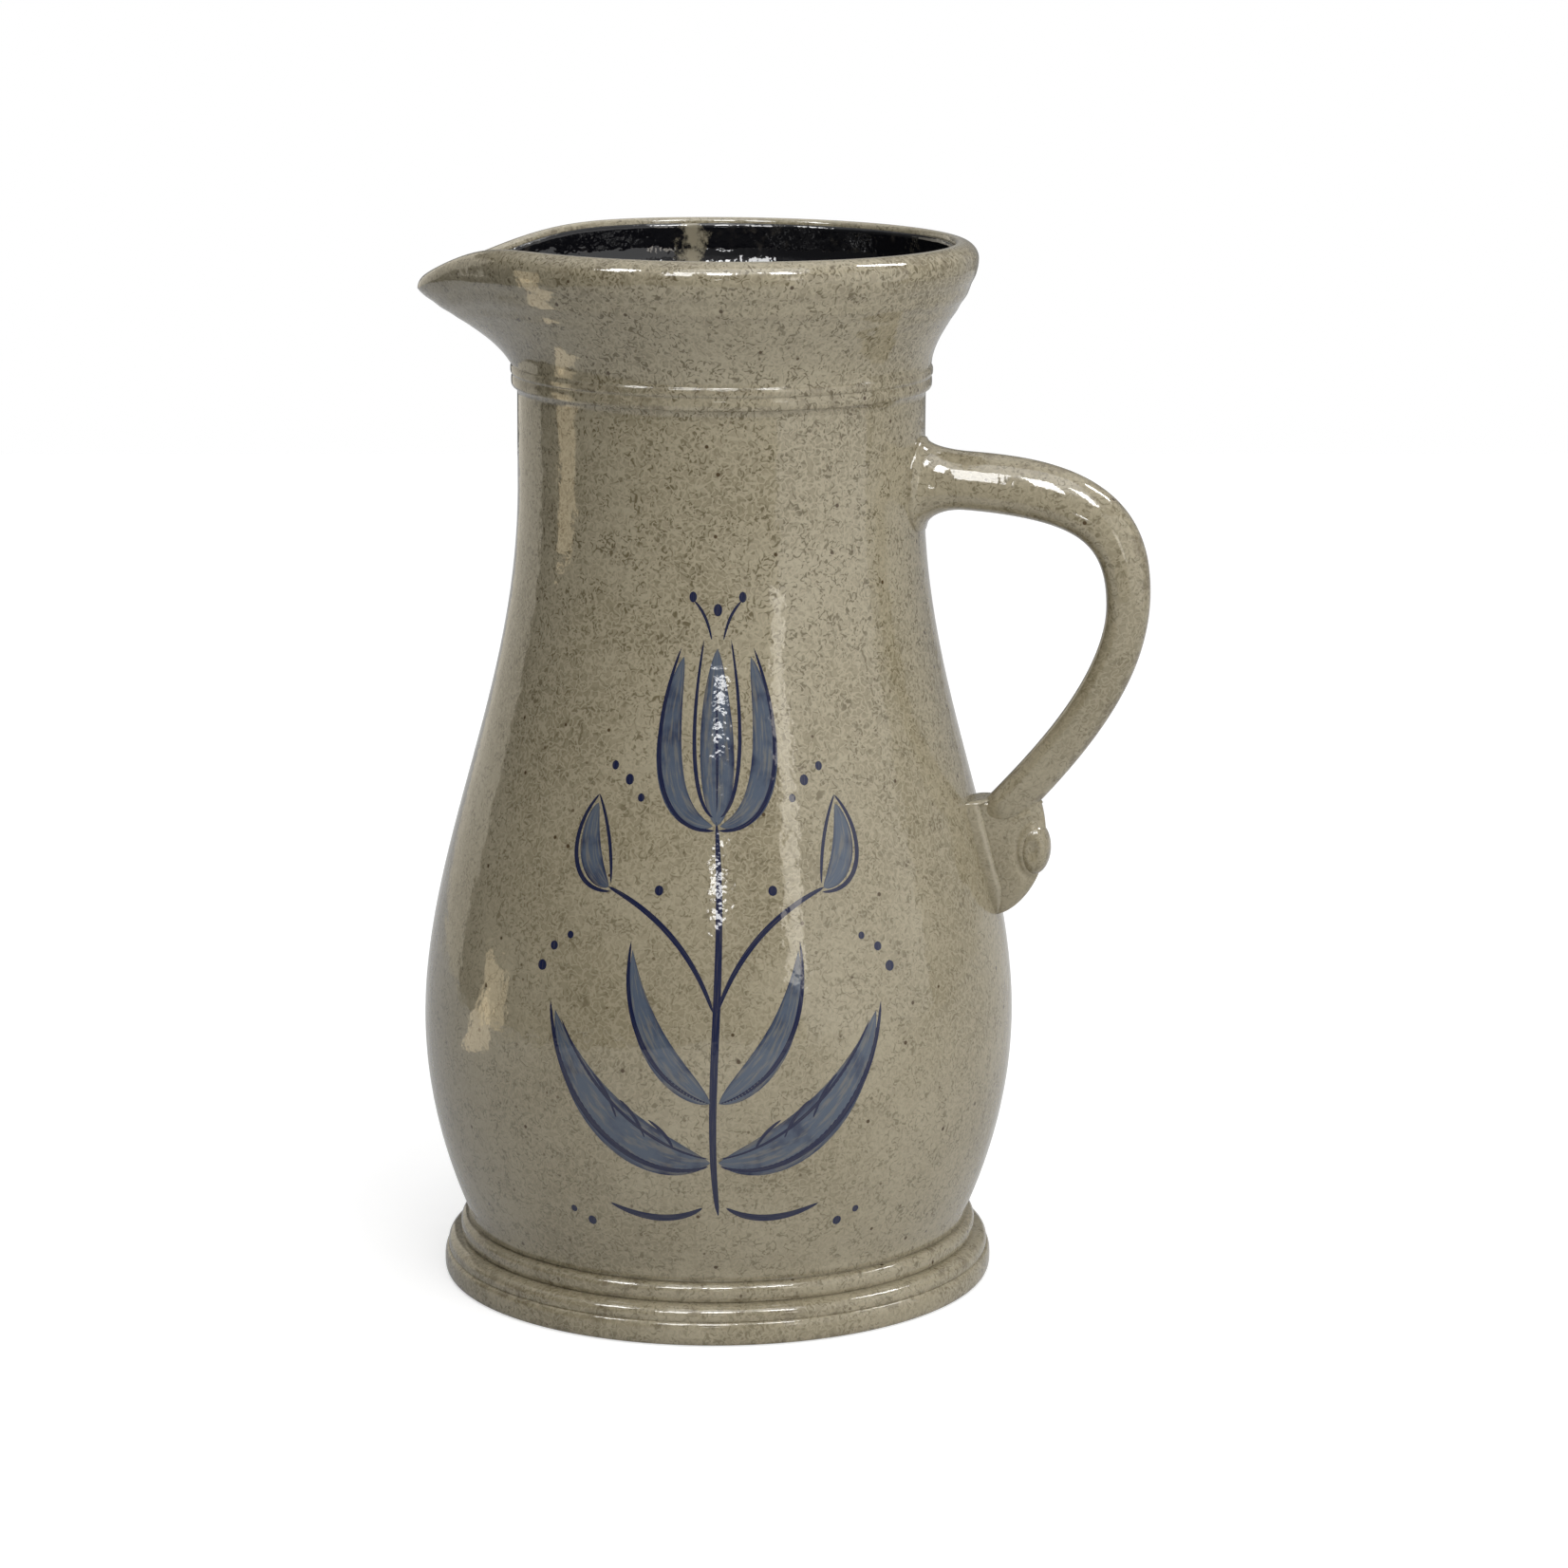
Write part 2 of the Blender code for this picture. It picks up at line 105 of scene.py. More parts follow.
class PitcherSizes(bpy.types.PropertyGroup):
    """Sizes of the turned clay, the lip and the lining."""

    heel_radius: length("Heel radius", "Wall radius where it comes out of the foot ring", 0.0625)
    foot_height: length("Foot height", "Height of the foot ring", 0.0146)
    plinth_height: length("Plinth height", "Height of the foot ring's lower moulding, the plinth", 0.0057)
    plinth_crest: length("Plinth crest", "Height of its widest part", 0.0026)
    plinth_toe: length("Plinth toe", "How far it goes in below that, at the floor", 0.0012)
    plinth_seam: length("Plinth seam", "Depth of the line between the plinth and the roll over it", 0.0003)
    foot_roll_height: length("Foot roll height", "Height of the top of that roll", 0.0094)
    foot_roll_crest: length("Foot roll crest", "Height of its widest part", 0.0066)
    foot_roll_proud: length("Foot roll", "How far it stands out from the heel", 0.0059)
    groove_proud: length("Groove", "How far the foot ring's groove stands out from the heel", 0.0014)
    bead_crest: length("Bead crest", "Height of the widest part of its bead", 0.0118)
    bead_proud: length("Bead", "How far the foot ring's bead stands out from the heel", 0.0027)
    foot_seam: length("Foot seam", "Height of the seam between the bead and the wall", 0.0005)
    heel_swell: length("Heel swell", "How far the wall swells out over that seam", 0.0009)
    heel_run: length("Heel run", "Height over which that swelling dies away", 0.0012)
    belly_height: length("Belly height", "Height of the widest part of the body", 0.0660)
    waist_height: length("Waist height", "Height where the wall becomes upright", 0.2000)
    waist_radius: length("Waist radius", "Wall radius below the cordon", 0.0501)
    shoulder_skew: number("Shoulder skew", "How early the shoulder falls in from the belly", 0.93)
    wall: length("Wall", "Thickness of the clay wall", 0.0055)
    floor: length("Floor", "Thickness of the clay floor", 0.0070)
    floor_fillet: length("Floor fillet", "Radius inside, between floor and wall", 0.0090)
    cordon_height: length("Cordon height", "Height of the cordon's lower edge", 0.2240)
    cordon_band: length("Cordon band", "Height of the cordon itself", 0.0055)
    cordon_proud: length("Cordon", "How far the cordon stands out from the body", 0.0016)
    cordon_split: number("Cordon split", "Share of its height that the lower of its two rolls takes", 0.62)
    cordon_roll: length("Cordon roll", "How far the lower roll stands out from the seam below it", 0.0009)
    cordon_groove: length("Cordon groove", "Depth and width of the groove between the rolls", 0.0003)
    flare_rise: length("Flare rise", "Height from the cordon to the widest part of the rim", 0.02629)
    roll_rise: length("Roll rise", "Height from the widest part of the rim to its crest", 0.0042)
    crest_inset: length("Crest inset", "How far the crest lies in from the rim's widest part", 0.0047)
    mouth_inset: length("Mouth inset", "How far the mouth lies in from the rim's widest part", 0.0060)
    mouth_depth: length("Mouth depth", "Height of the upright part inside the rim", 0.0070)
    lip_reach: length("Lip reach", "How far the pouring lip is pulled out", 0.0139)
    lip_drop: length("Lip drop", "How far the pouring lip is pressed down", 0.0100)
    lip_pull: number("Lip pull", "How late the lip is pulled out on the way up, as a power", 0.72)
    lip_press: number("Lip press", "How late it is pressed down on the way up, as a power", 1.35)
    lip_spread: number("Lip spread", "Half width of the pouring lip, in radians round the rim", 0.40)
    lip_thinning: length("Lip thinning", "How much thinner the lip is than the rim", 0.0020)
    lining: length("Lining", "Thickness of the dark slip lining", 0.0008)
    lining_gap: length("Lining gap", "Clearance between the lining and the clay", 0.00012)
    lining_edge: length("Lining edge", "Height of the lining's edge below the crest", 0.0014)
    crest_width: length("Crest width", "Width of the pale line on the rim's crest", 0.0009)
    ridge_radius: length("Ridge radius", "Roundness at which a ridge takes on brown", 0.0030)
    rim_groove: length("Rim groove", "Depth of the soft groove under the rim", 0.00028)
    rim_groove_place: number("Rim groove place", "Its place, as a share of the flare's rise", 0.80)
    rim_groove_width: number("Rim groove width", "Its half width, as a share of the flare's rise", 0.045)
    throwing_line: length("Throwing line", "Depth of the throwing lines on the neck", 0.00010)
    throwing_turn: number("Throwing turn", "How close together they lie, in radians over the flare", 40.0)


class HandleSizes(bpy.types.PropertyGroup):
    """Sizes of the strap handle, its root, its terminal and the boss."""

    root_height: length("Root height", "Height of the middle of the upper root", 0.2030)
    root_thickness: length("Root thickness", "Thickness of the strap at its upper root", 0.0142)
    root_width: length("Root width", "Width of the strap at its upper root", 0.0155)
    tail_thickness: length("Tail thickness", "Thickness of the strap where it lands", 0.0102)
    tail_width: length("Tail width", "Width of the strap where it lands", 0.0125)
    reach: length("Reach", "How far the strap's middle stands out from the waist", 0.0517)
    crest_drop: length("Bend drop", "Height from the root down to the strap's outermost point", 0.0285)
    top_run: length("Top run", "Pull of the upper curve at the root", 0.0345)
    top_bend: length("Top bend", "Pull of the upper curve at the bend", 0.0240)
    side_run: length("Side run", "Pull of the lower curve at the bend", 0.0180)
    tail_run: length("Tail run", "Pull of the lower curve at the landing", 0.0210)
    tail_angle: turn("Tail angle", "Slope of the strap where it lands", 47.5)
    landing_height: length("Landing height", "Height of the terminal's top", 0.1230)
    landing_standoff: length("Landing standoff", "Distance of the strap's middle from the wall there", 0.0098)
    strap_thinning: number("Strap thinning", "How soon it goes from the root's size to the tail's", 2.15)
    strap_hold: number("Strap hold", "How long it keeps the root's size first, as a share", 0.25)
    strap_power: number("Strap power", "Roundness of its section: 1 is an oval, less is squarer", 0.84)
    strap_lean: number("Strap lean", "How far its sides lean in towards the outer side, as a share", 0.26)
    root_spread: length("Root spread", "How far the root flares out below, on the wall", 0.0062)
    root_rim: length("Root rim", "Height of the flare's own edge off the wall", 0.0012)
    root_fillet: length("Root fillet", "Distance over which that flare dies away", 0.0105)
    root_curve: length("Root curve", "Distance over which it leaves the wall's curve", 0.0080)
    wall_sink: length("Wall sink", "How far root and terminal go into the wall", 0.0004)
    root_side: number("Root side", "Share of the flare that goes sideways", 0.40)
    tail_sink: length("Tail sink", "Distance over which the strap goes into the terminal", 0.0085)
    tail_tuck: number("Tail tuck", "Share of its width that it loses there", 0.34)
    terminal_length: length("Terminal length", "Height of the shield-shaped terminal", 0.0285)
    terminal_depth: length("Terminal depth", "How far its top stands out from the wall", 0.0177)
    crown_share: number("Crown share", "Share of its half width that the crown takes", 0.80)
    shoulder_rise: length("Shoulder rise", "Height of its rounded shoulder round the strap", 0.0016)
    terminal_margin: length("Terminal margin", "How far it stands out beside the strap", 0.0004)
    terminal_taper: number("Terminal taper", "How soon its depth falls off towards its tip", 0.70)
    shield_fullness: number("Shield fullness", "How far down its sides stay wide, as a power", 2.4)
    shield_tip: number("Shield tip", "How pointed its tip is, as a power", 0.6)
    valley_share: number("Valley share", "Height of the valley inside its edge, as a share of the edge", 0.80)
    ridge_share: number("Ridge share", "How far the ridge rises over that, as a share of the edge", 0.42)
    flange_edge: length("Flange edge", "Height of the ridge along its edge", 0.0034)
    boss_drop: length("Boss drop", "Height from the terminal's top down to the boss", 0.0112)
    boss_width: length("Boss width", "Half width of the oval boss, across the strap", 0.0050)
    boss_depth: length("Boss depth", "Half depth of the oval boss", 0.0037)
    boss_rise: length("Boss rise", "Half height of the oval boss", 0.0064)
    boss_height: length("Boss height", "How far the boss stands out from the terminal's crown", 0.0013)
    boss_dimple: number("Boss dimple", "Depth of the hollow in its ends, as a share of its half width", 0.20)
    boss_groove: length("Boss groove", "Depth of the groove round the boss", 0.0006)
    groove_place: number("Groove place", "Its distance from the boss's middle, as a share of the boss", 1.15)
    groove_width: number("Groove width", "Its half width, as a share of the boss", 0.17)


class GlazeColours(bpy.types.PropertyGroup):
    """Colours of the glazes and the cobalt."""

    clay: colour("Clay", "Salt glaze over the clay", (0.245, 0.212, 0.138))
    clay_dark: colour("Dark clay", "Darker grain in the salt glaze", (0.135, 0.112, 0.066))
    clay_pale: colour("Pale clay", "Paler bloom in the salt glaze", (0.330, 0.292, 0.205))
    # This pale colour on crests and edge ridges is thin glaze and also a painted highlight.
    thin_edge_and_highlight: colour("Bare edge", "Thin glaze on the rim's crest", (0.480, 0.440, 0.350))
    iron: colour("Iron speck", "Iron specks and the brown along the ridges", (0.060, 0.037, 0.017))
    slip: colour("Slip", "Dark slip lining", (0.0045, 0.0045, 0.0060))
    slip_fleck: colour("Slip fleck", "Brown flecks in the slip", (0.0450, 0.0390, 0.0320))
    cobalt: colour("Cobalt", "Brushed cobalt lines", (0.0060, 0.0100, 0.0420))
    wash: colour("Wash", "Thin cobalt wash", (0.0750, 0.0950, 0.1300))


class StudioSettings(bpy.types.PropertyGroup):
    """Camera and lights."""

    distance: length("Camera distance", "Level distance from the jug's axis", 1.1417)
    height: length("Camera height", "Height of the camera", 0.3647)
    azimuth: turn("Camera azimuth", "Turn of the camera towards the handle", 12.5)
    pitch: turn("Camera pitch", "How far the camera looks down", 11.908)
    focal_share: number("Focal share", "Focal length as a share of the picture's width", 2.978)
    centre_share: number("Axis place", "Place of the jug's foot across the picture, from its left", 0.4577)
    paper_front: length("Paper in front", "Reach of the paper towards the camera", 0.78)
    paper_back: length("Paper behind", "Reach of the paper behind the jug", 1.50)
    paper_left: length("Paper on the left", "Reach of the paper to the left", 0.52)
    paper_right: length("Paper on the right", "Reach of the paper to the right", 0.80)
    paper_glow: number("Paper glow", "Share of the paper's white that no shadow takes", 0.60)
    paper_mirror: number("Paper in reflections", "The same share, as the glaze reflects it", 0.10)
    room: number("Room", "Brightness of the room ahead of the jug", 0.25)
    ceiling: number("Ceiling", "How much brighter the room is overhead", 0.85)
    left_dim: number("Left dim", "How much dimmer the room is on the left, as a share", 0.65)


# Formulas of the clay.


def smooth(u):
    """0 to 1 with level ends: three u squared less two u cubed."""
    u = np.clip(u, 0.0, 1.0)
    return u * u * (3.0 - 2.0 * u)


def bell(u, middle, width):
    """1 at the middle, dying away to either side as a bell."""
    return np.exp(-(((u - middle) / width) ** 2))


def rounded(angle, power=2.0 / SQUARENESS):
    """Cosine and sine of a circle pressed towards a square, by a power of each."""
    c, s = np.cos(angle), np.sin(angle)
    return np.sign(c) * np.abs(c) ** power, np.sign(s) * np.abs(s) ** power


def leaned(points):
    """The jug's lean: each height moves towards the handle, and the rim tips with it."""
    rim = rim_height(sizes())
    x, y, z = points[..., 0], points[..., 1], points[..., 2]
    return np.stack([x + LEAN * z, y, z - LEAN * x * z / rim], axis=-1)


def sizes():
    return bpy.context.scene.pitcher_sizes


def strap():
    return bpy.context.scene.pitcher_handle


def glazes():
    return bpy.context.scene.pitcher_glazes


def studio():
    return bpy.context.scene.pitcher_studio


def flare_height(s):
    return s.cordon_height + s.cordon_band


def rim_height(s):
    return flare_height(s) + s.flare_rise + s.roll_rise


def wall_radius(s, z):
    """Outer radius of the body: a parabola from heel to belly, then a skewed half wave in to the waist."""
    below = np.clip((s.belly_height - z) / (s.belly_height - s.foot_height), 0.0, 1.0)
    above = np.clip((z - s.belly_height) / (s.waist_height - s.belly_height), 0.0, 1.0) ** s.shoulder_skew
    middle, swing = (BELLY_RADIUS + s.waist_radius) / 2, (BELLY_RADIUS - s.waist_radius) / 2
    heel = BELLY_RADIUS - (BELLY_RADIUS - s.heel_radius) * below**2
    return np.where(z < s.belly_height, heel, middle + swing * np.cos(math.pi * above))


def wall_face(s, y, z):
    """X of the outer wall on the handle's side, at a sideways place and a height."""
    return np.sqrt(wall_radius(s, z) ** 2 - y**2)


def rows(*columns):
    """Rows of (radius, height) from a radius and a height that may each be one value for all."""
    return np.stack(np.broadcast_arrays(*columns), axis=-1)


def bulge(inner, outer, low, high, count):
    """A half-round moulding between two heights, as rows going up."""
    out, along = rounded(np.linspace(-math.pi / 2, math.pi / 2, count))
    return rows(inner + (outer - inner) * out, (low + high) / 2 + (high - low) / 2 * along)


def swell(low, crest, high):
    """A moulding as rows going up: a rounded quarter out to its crest, another back in."""
    out, along = rounded(np.linspace(-math.pi / 2, 0.0, 14))
    under = rows(low[0] + (crest[0] - low[0]) * out, crest[1] + (crest[1] - low[1]) * along)
    out, along = rounded(np.linspace(0.0, math.pi / 2, 14)[1:])
    over = rows(high[0] + (crest[0] - high[0]) * out, crest[1] + (high[1] - crest[1]) * along)
    return np.concatenate([under, over])


def inside_path(s, inset, count):
    """Rows up the inside, from the floor to under the crest, this far in from the clay: a quarter round
    off the floor, the wall less its thickness, then the flare as a smooth step out to the mouth."""
    low = s.floor + s.floor_fillet
    corner = wall_radius(s, low) - s.wall - s.floor_fillet
    sweep = np.linspace(-math.pi / 2, 0.0, 12)
    reach = s.floor_fillet - inset
    fillet = rows(corner + reach * np.cos(sweep), low + reach * np.sin(sweep))
    z = np.linspace(low, s.cordon_height, count)[1:]
    wall = rows(wall_radius(s, z) - s.wall - inset, z)
    throat, mouth = s.waist_radius - s.wall, RIM_RADIUS - s.mouth_inset
    u = np.linspace(0.0, 1.0, count // 2)
    bottom, top = flare_height(s), rim_height(s) - s.mouth_depth
    flare = rows(throat + (mouth - throat) * smooth(u) - inset, bottom + (top - bottom) * u)
    edge = rows(mouth - inset, np.linspace(top, rim_height(s) - s.lining_edge, 6)[1:])
    return np.concatenate([fillet, wall, flare, edge])


def turned(s, profile, reach, segments):
    """Rings round the axis for rows of (radius, height). Above the cordon, the side towards -X is pulled
    out and pressed down in a bell-shaped bump round that side, which grows towards the rim."""
    angle = np.linspace(0.0, 2 * math.pi, segments, endpoint=False)
    bump = bell(angle, math.pi, s.lip_spread)
    radius, height = profile[:, :1], profile[:, 1:]
    rise = np.clip((height - flare_height(s)) / s.flare_rise, 0.0, 1.0)
    r = radius + reach * bump * rise**s.lip_pull
    z = height - s.lip_drop * bump * rise**s.lip_press
    return np.stack([r * np.cos(angle), r * np.sin(angle), z + 0.0 * r], axis=-1)


def outside_path(s):
    """Rows up the outside: flat base, the foot ring's plinth, roll and bead, wall, double cordon, flare with
    faint throwing lines, rolled rim, and the rounded edge inside it."""
    rim = rim_height(s)
    heel, top = s.heel_radius, s.foot_height - s.foot_seam
    toe, groove, ledge = FOOT_RADIUS - s.plinth_toe, heel + s.groove_proud, heel + s.foot_roll_proud
    seam = ledge - s.plinth_seam
    base = rows(np.linspace(POLE_RING, toe - EDGE_RING, 10), 0.0)
    plinth = swell((toe, 0.0), (FOOT_RADIUS, s.plinth_crest), (seam, s.plinth_height))
    step = swell((seam, s.plinth_height), (ledge, s.foot_roll_crest), (groove, s.foot_roll_height))[1:]
    bead = swell((groove, s.foot_roll_height), (heel + s.bead_proud, s.bead_crest), (heel - HAIR, top))[1:]
    z = np.linspace(s.foot_height, s.cordon_height, 130)
    wall = rows(wall_radius(s, z) + s.heel_swell * bell(z, s.foot_height, s.heel_run), z)
    band = s.waist_radius + s.cordon_proud
    split, start = s.cordon_height + s.cordon_split * s.cordon_band, band - s.cordon_groove
    lower = bulge(band - s.cordon_roll, band - HAIR, s.cordon_height + HAIR, split, 20)
    lower = lower[lower[:, 1] < split - s.cordon_groove]
    upper = bulge(start, band + HAIR, split, flare_height(s), 14)
    u = np.linspace(0.0, 1.0, 60)[1:]
    shown = smooth((u - 0.35) * 4.0) * smooth((0.95 - u) * 6.0)
    lines = s.throwing_line * np.sin(u * s.throwing_turn) * shown
    lines = lines - s.rim_groove * bell(u, s.rim_groove_place, s.rim_groove_width)
    flare = rows(start + (RIM_RADIUS - start) * smooth(u) + lines, flare_height(s) + s.flare_rise * u)
    sweep = np.linspace(0.0, math.pi / 2, 26)[1:]
    crest = RIM_RADIUS - s.crest_inset
    roll = rows(crest + s.crest_inset * np.cos(sweep), rim - s.roll_rise + s.roll_rise * np.sin(sweep))
    sweep = np.linspace(math.pi / 2, math.pi, 10)[1:]
    mouth = RIM_RADIUS - s.mouth_inset
    round_in = rows(crest + (crest - mouth) * np.cos(sweep), rim - s.lining_edge * (1 - np.sin(sweep)))
    return np.concatenate([base, plinth, step, bead, wall, lower, upper, flare, roll, round_in])


def bezier(controls, count):
    """A cubic curve through four control points, by Bernstein weights."""
    t = np.linspace(0.0, 1.0, count)[:, None]
    a, b, c, d = (np.array(point) for point in controls)
    return (1 - t) ** 3 * a + 3 * (1 - t) ** 2 * t * b + 3 * (1 - t) * t**2 * c + t**3 * d


def handle_path(s, h, count):
    """Centre line of the strap as rows of (x, z): out from the neck, round the bend and down."""
    root = (float(wall_radius(s, h.root_height)), h.root_height)
    bend = (s.waist_radius + h.reach, h.root_height - h.crest_drop)
    landing = (float(wall_radius(s, h.landing_height)) + h.landing_standoff, h.landing_height)
    along = (h.tail_run * math.cos(h.tail_angle), h.tail_run * math.sin(h.tail_angle))
    tail = (landing[0] + along[0], landing[1] + along[1])
    upper = (root, (root[0] + h.top_run, h.root_height), (bend[0], bend[1] + h.top_bend), bend)
    lower = (bend, (bend[0], bend[1] - h.side_run), tail, landing)
    return np.concatenate([bezier(upper, count), bezier(lower, count)[1:]])


# Meshes.


def grid_faces(count, sides):
    """Quads of a grid of rings, as vertex numbers."""
    i, j = np.arange(count - 1)[:, None], np.arange(sides)[None]
    k, below = (j + 1) % sides, i + 1
    corners = [i * sides + j, i * sides + k, below * sides + k, below * sides + j]
    return np.stack(corners, axis=-1).reshape(-1, 4)


def pole_faces(count, sides):
    """Triangles that close the first and the last ring to the two points that follow the rings."""
    j = np.arange(sides)
    k, last, first_pole = (j + 1) % sides, (count - 1) * sides, count * sides
    first = np.stack([k, j, np.full(sides, first_pole)], axis=-1)
    return np.concatenate([first, np.stack([last + j, last + k, np.full(sides, first_pole + 1)], axis=-1)])


def mesh_object(name, points, quads, triangles, material, replaces=(), marks=None):
    """A smooth object at the origin from points, faces and marks on the points, riding on the one body."""
    mesh = bpy.data.meshes.new(name)
    mesh.from_pydata(points.tolist(), [], quads.tolist() + triangles.tolist())
    for mark, values in (marks or {}).items():
        kind, field = ("FLOAT_VECTOR", "vector") if values.ndim == 2 else ("FLOAT", "value")
        mesh.attributes.new(mark, kind, "POINT").data.foreach_set(field, values.ravel())
    mesh.shade_smooth()
    mesh.materials.append(material)
    obj = bpy.data.objects.new(name, mesh)
    bpy.context.scene.collection.objects.link(obj)
    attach(obj, "root")
    if replaces:
        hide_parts(*replaces)
    return obj


def middles(rings):
    """Middle points of the first and of the last ring."""
    return rings[[0, -1]].mean(axis=1)


def ring_solid(name, rings, ends, material, replaces=(), flip=False, marks=None):
    """A closed surface from rows of rings, with a pole point over the first and the last row. Marks have a
    value for each point of the rings, or for each ring."""
    count, sides = rings.shape[:2]
    points = leaned(np.concatenate([rings.reshape(-1, 3), np.array(ends)]))
    quads, triangles = grid_faces(count, sides), pole_faces(count, sides)
    if flip:
        quads, triangles = quads[:, ::-1], triangles[:, ::-1]
    on_points = {}
    for mark, values in (marks or {}).items():
        values = np.broadcast_to(values, (count, sides))
        on_points[mark] = np.concatenate([values.ravel(), middles(values)])
    return mesh_object(name, points, quads, triangles, material, replaces, on_points)


def roundness(profile):
    """How sharply each row of a profile turns outwards, as the turn of its direction over the distance."""
    step = np.diff(profile, axis=0)
    way = np.unwrap(np.arctan2(step[:, 1], step[:, 0]))
    turning = np.concatenate([[0.0], np.diff(way), [0.0]])
    span = np.linalg.norm(np.gradient(profile, axis=0), axis=1)
    return turning / np.maximum(span, 1e-5)


# Finishes.


class Wire:
    """A shader socket that takes part in sums as a number does."""

    def __init__(self, nodes, socket):
        self.nodes, self.socket = nodes, socket

    def maths(self, operation, *values):
        return self.nodes.node("ShaderNodeMath", {"operation": operation}, dict(enumerate(values)))

    def __add__(self, other):
        return self.maths("ADD", self, other)

    __radd__ = __add__

    def __mul__(self, other):
        return self.maths("MULTIPLY", self, other)

    __rmul__ = __mul__

    def __sub__(self, other):
        return self.maths("SUBTRACT", self, other)

    def __rsub__(self, other):
        return self.maths("SUBTRACT", other, self)

    def __truediv__(self, other):
        return self.maths("DIVIDE", self, other)

    def __rtruediv__(self, other):
        return self.maths("DIVIDE", other, self)

    def __abs__(self):
        return self.maths("ABSOLUTE", self)

    def clamped(self):
        return self.maths("MAXIMUM", self.maths("MINIMUM", self, 1.0), 0.0)

    def ramp(self, low, high):
        """0 below low, 1 above high, smooth between. High may be the lower one."""
        settings = {"interpolation_type": "SMOOTHSTEP"}
        return self.nodes.node("ShaderNodeMapRange", settings, {0: self, 1: low, 2: high, 3: 0.0, 4: 1.0})


class Nodes:
    """A node tree, with one way to add a node and short names for the nodes that are used most."""

    def __init__(self, tree):
        self.tree = tree

    def plug(self, entry, value):
        if isinstance(value, Wire):
            self.tree.links.new(value.socket, entry)
        else:
            entry.default_value = value

    def node(self, kind, settings=None, values=None, output=0):
        """One output of a new node of this kind. Its settings are set first, then the values or links of its
        sockets, by their names or numbers."""
        node = self.tree.nodes.new(kind)
        for key, value in (settings or {}).items():
            setattr(node, key, value)
        for key, value in (values or {}).items():
            self.plug(node.inputs[key], value)
        return Wire(self, node.outputs[output])

    def part(self, vector, number):
        """One of the three numbers of a vector."""
        return self.node("ShaderNodeSeparateXYZ", values={"Vector": vector}, output=number)

    def light_path(self, *rays):
        """1 for rays of any of these kinds, else 0."""
        first, *others = [self.node("ShaderNodeLightPath", output=ray) for ray in rays]
        return sum(others, first).clamped()


class Finish(Nodes):
    """A material with a Principled shader that reads the object's own coordinates."""

    def __init__(self, name):
        self.material = bpy.data.materials.new(name)
        self.material.use_nodes = True
        super().__init__(self.material.node_tree)
        self.shader = self.tree.nodes["Principled BSDF"]
        self.place = self.node("ShaderNodeTexCoord", output="Object")

    def noise(self, scale, detail=2.0, roughness=0.5, distortion=0.0, at=None):
        values = {"Vector": at or self.place, "Scale": scale, "Detail": detail, "Roughness": roughness}
        return self.node("ShaderNodeTexNoise", values={**values, "Distortion": distortion})

    def cells(self, scale):
        return self.node("ShaderNodeTexVoronoi", values={"Vector": self.place, "Scale": scale})

    def attribute(self, name, output="Fac"):
        return self.node("ShaderNodeAttribute", {"attribute_name": name}, output=output)

    def mix(self, share, first, second):
        """A colour between two, each a colour or a wire."""
        first, second = (c if isinstance(c, Wire) else (*c, 1.0) for c in (first, second))
        return self.node("ShaderNodeMix", {"data_type": "RGBA"}, {0: share, 6: first, 7: second}, 2)

    def relief(self, height):
        """Normals of a surface raised by this height, in metres."""
        return self.node("ShaderNodeBump", values={"Height": height, "Strength": 1.0, "Distance": 1.0})

    def set(self, **values):
        for key, value in values.items():
            self.plug(self.shader.inputs[key.replace("_", " ")], value)
        return self.material


def glaze_skin(finish, fine, broad):
    """Height of the fired skin: a fine orange peel and a slow unevenness from the hand."""
    return (finish.noise(330.0, 2.0, 0.5) - 0.5) * fine + (finish.noise(55.0, 1.0, 0.5) - 0.5) * broad


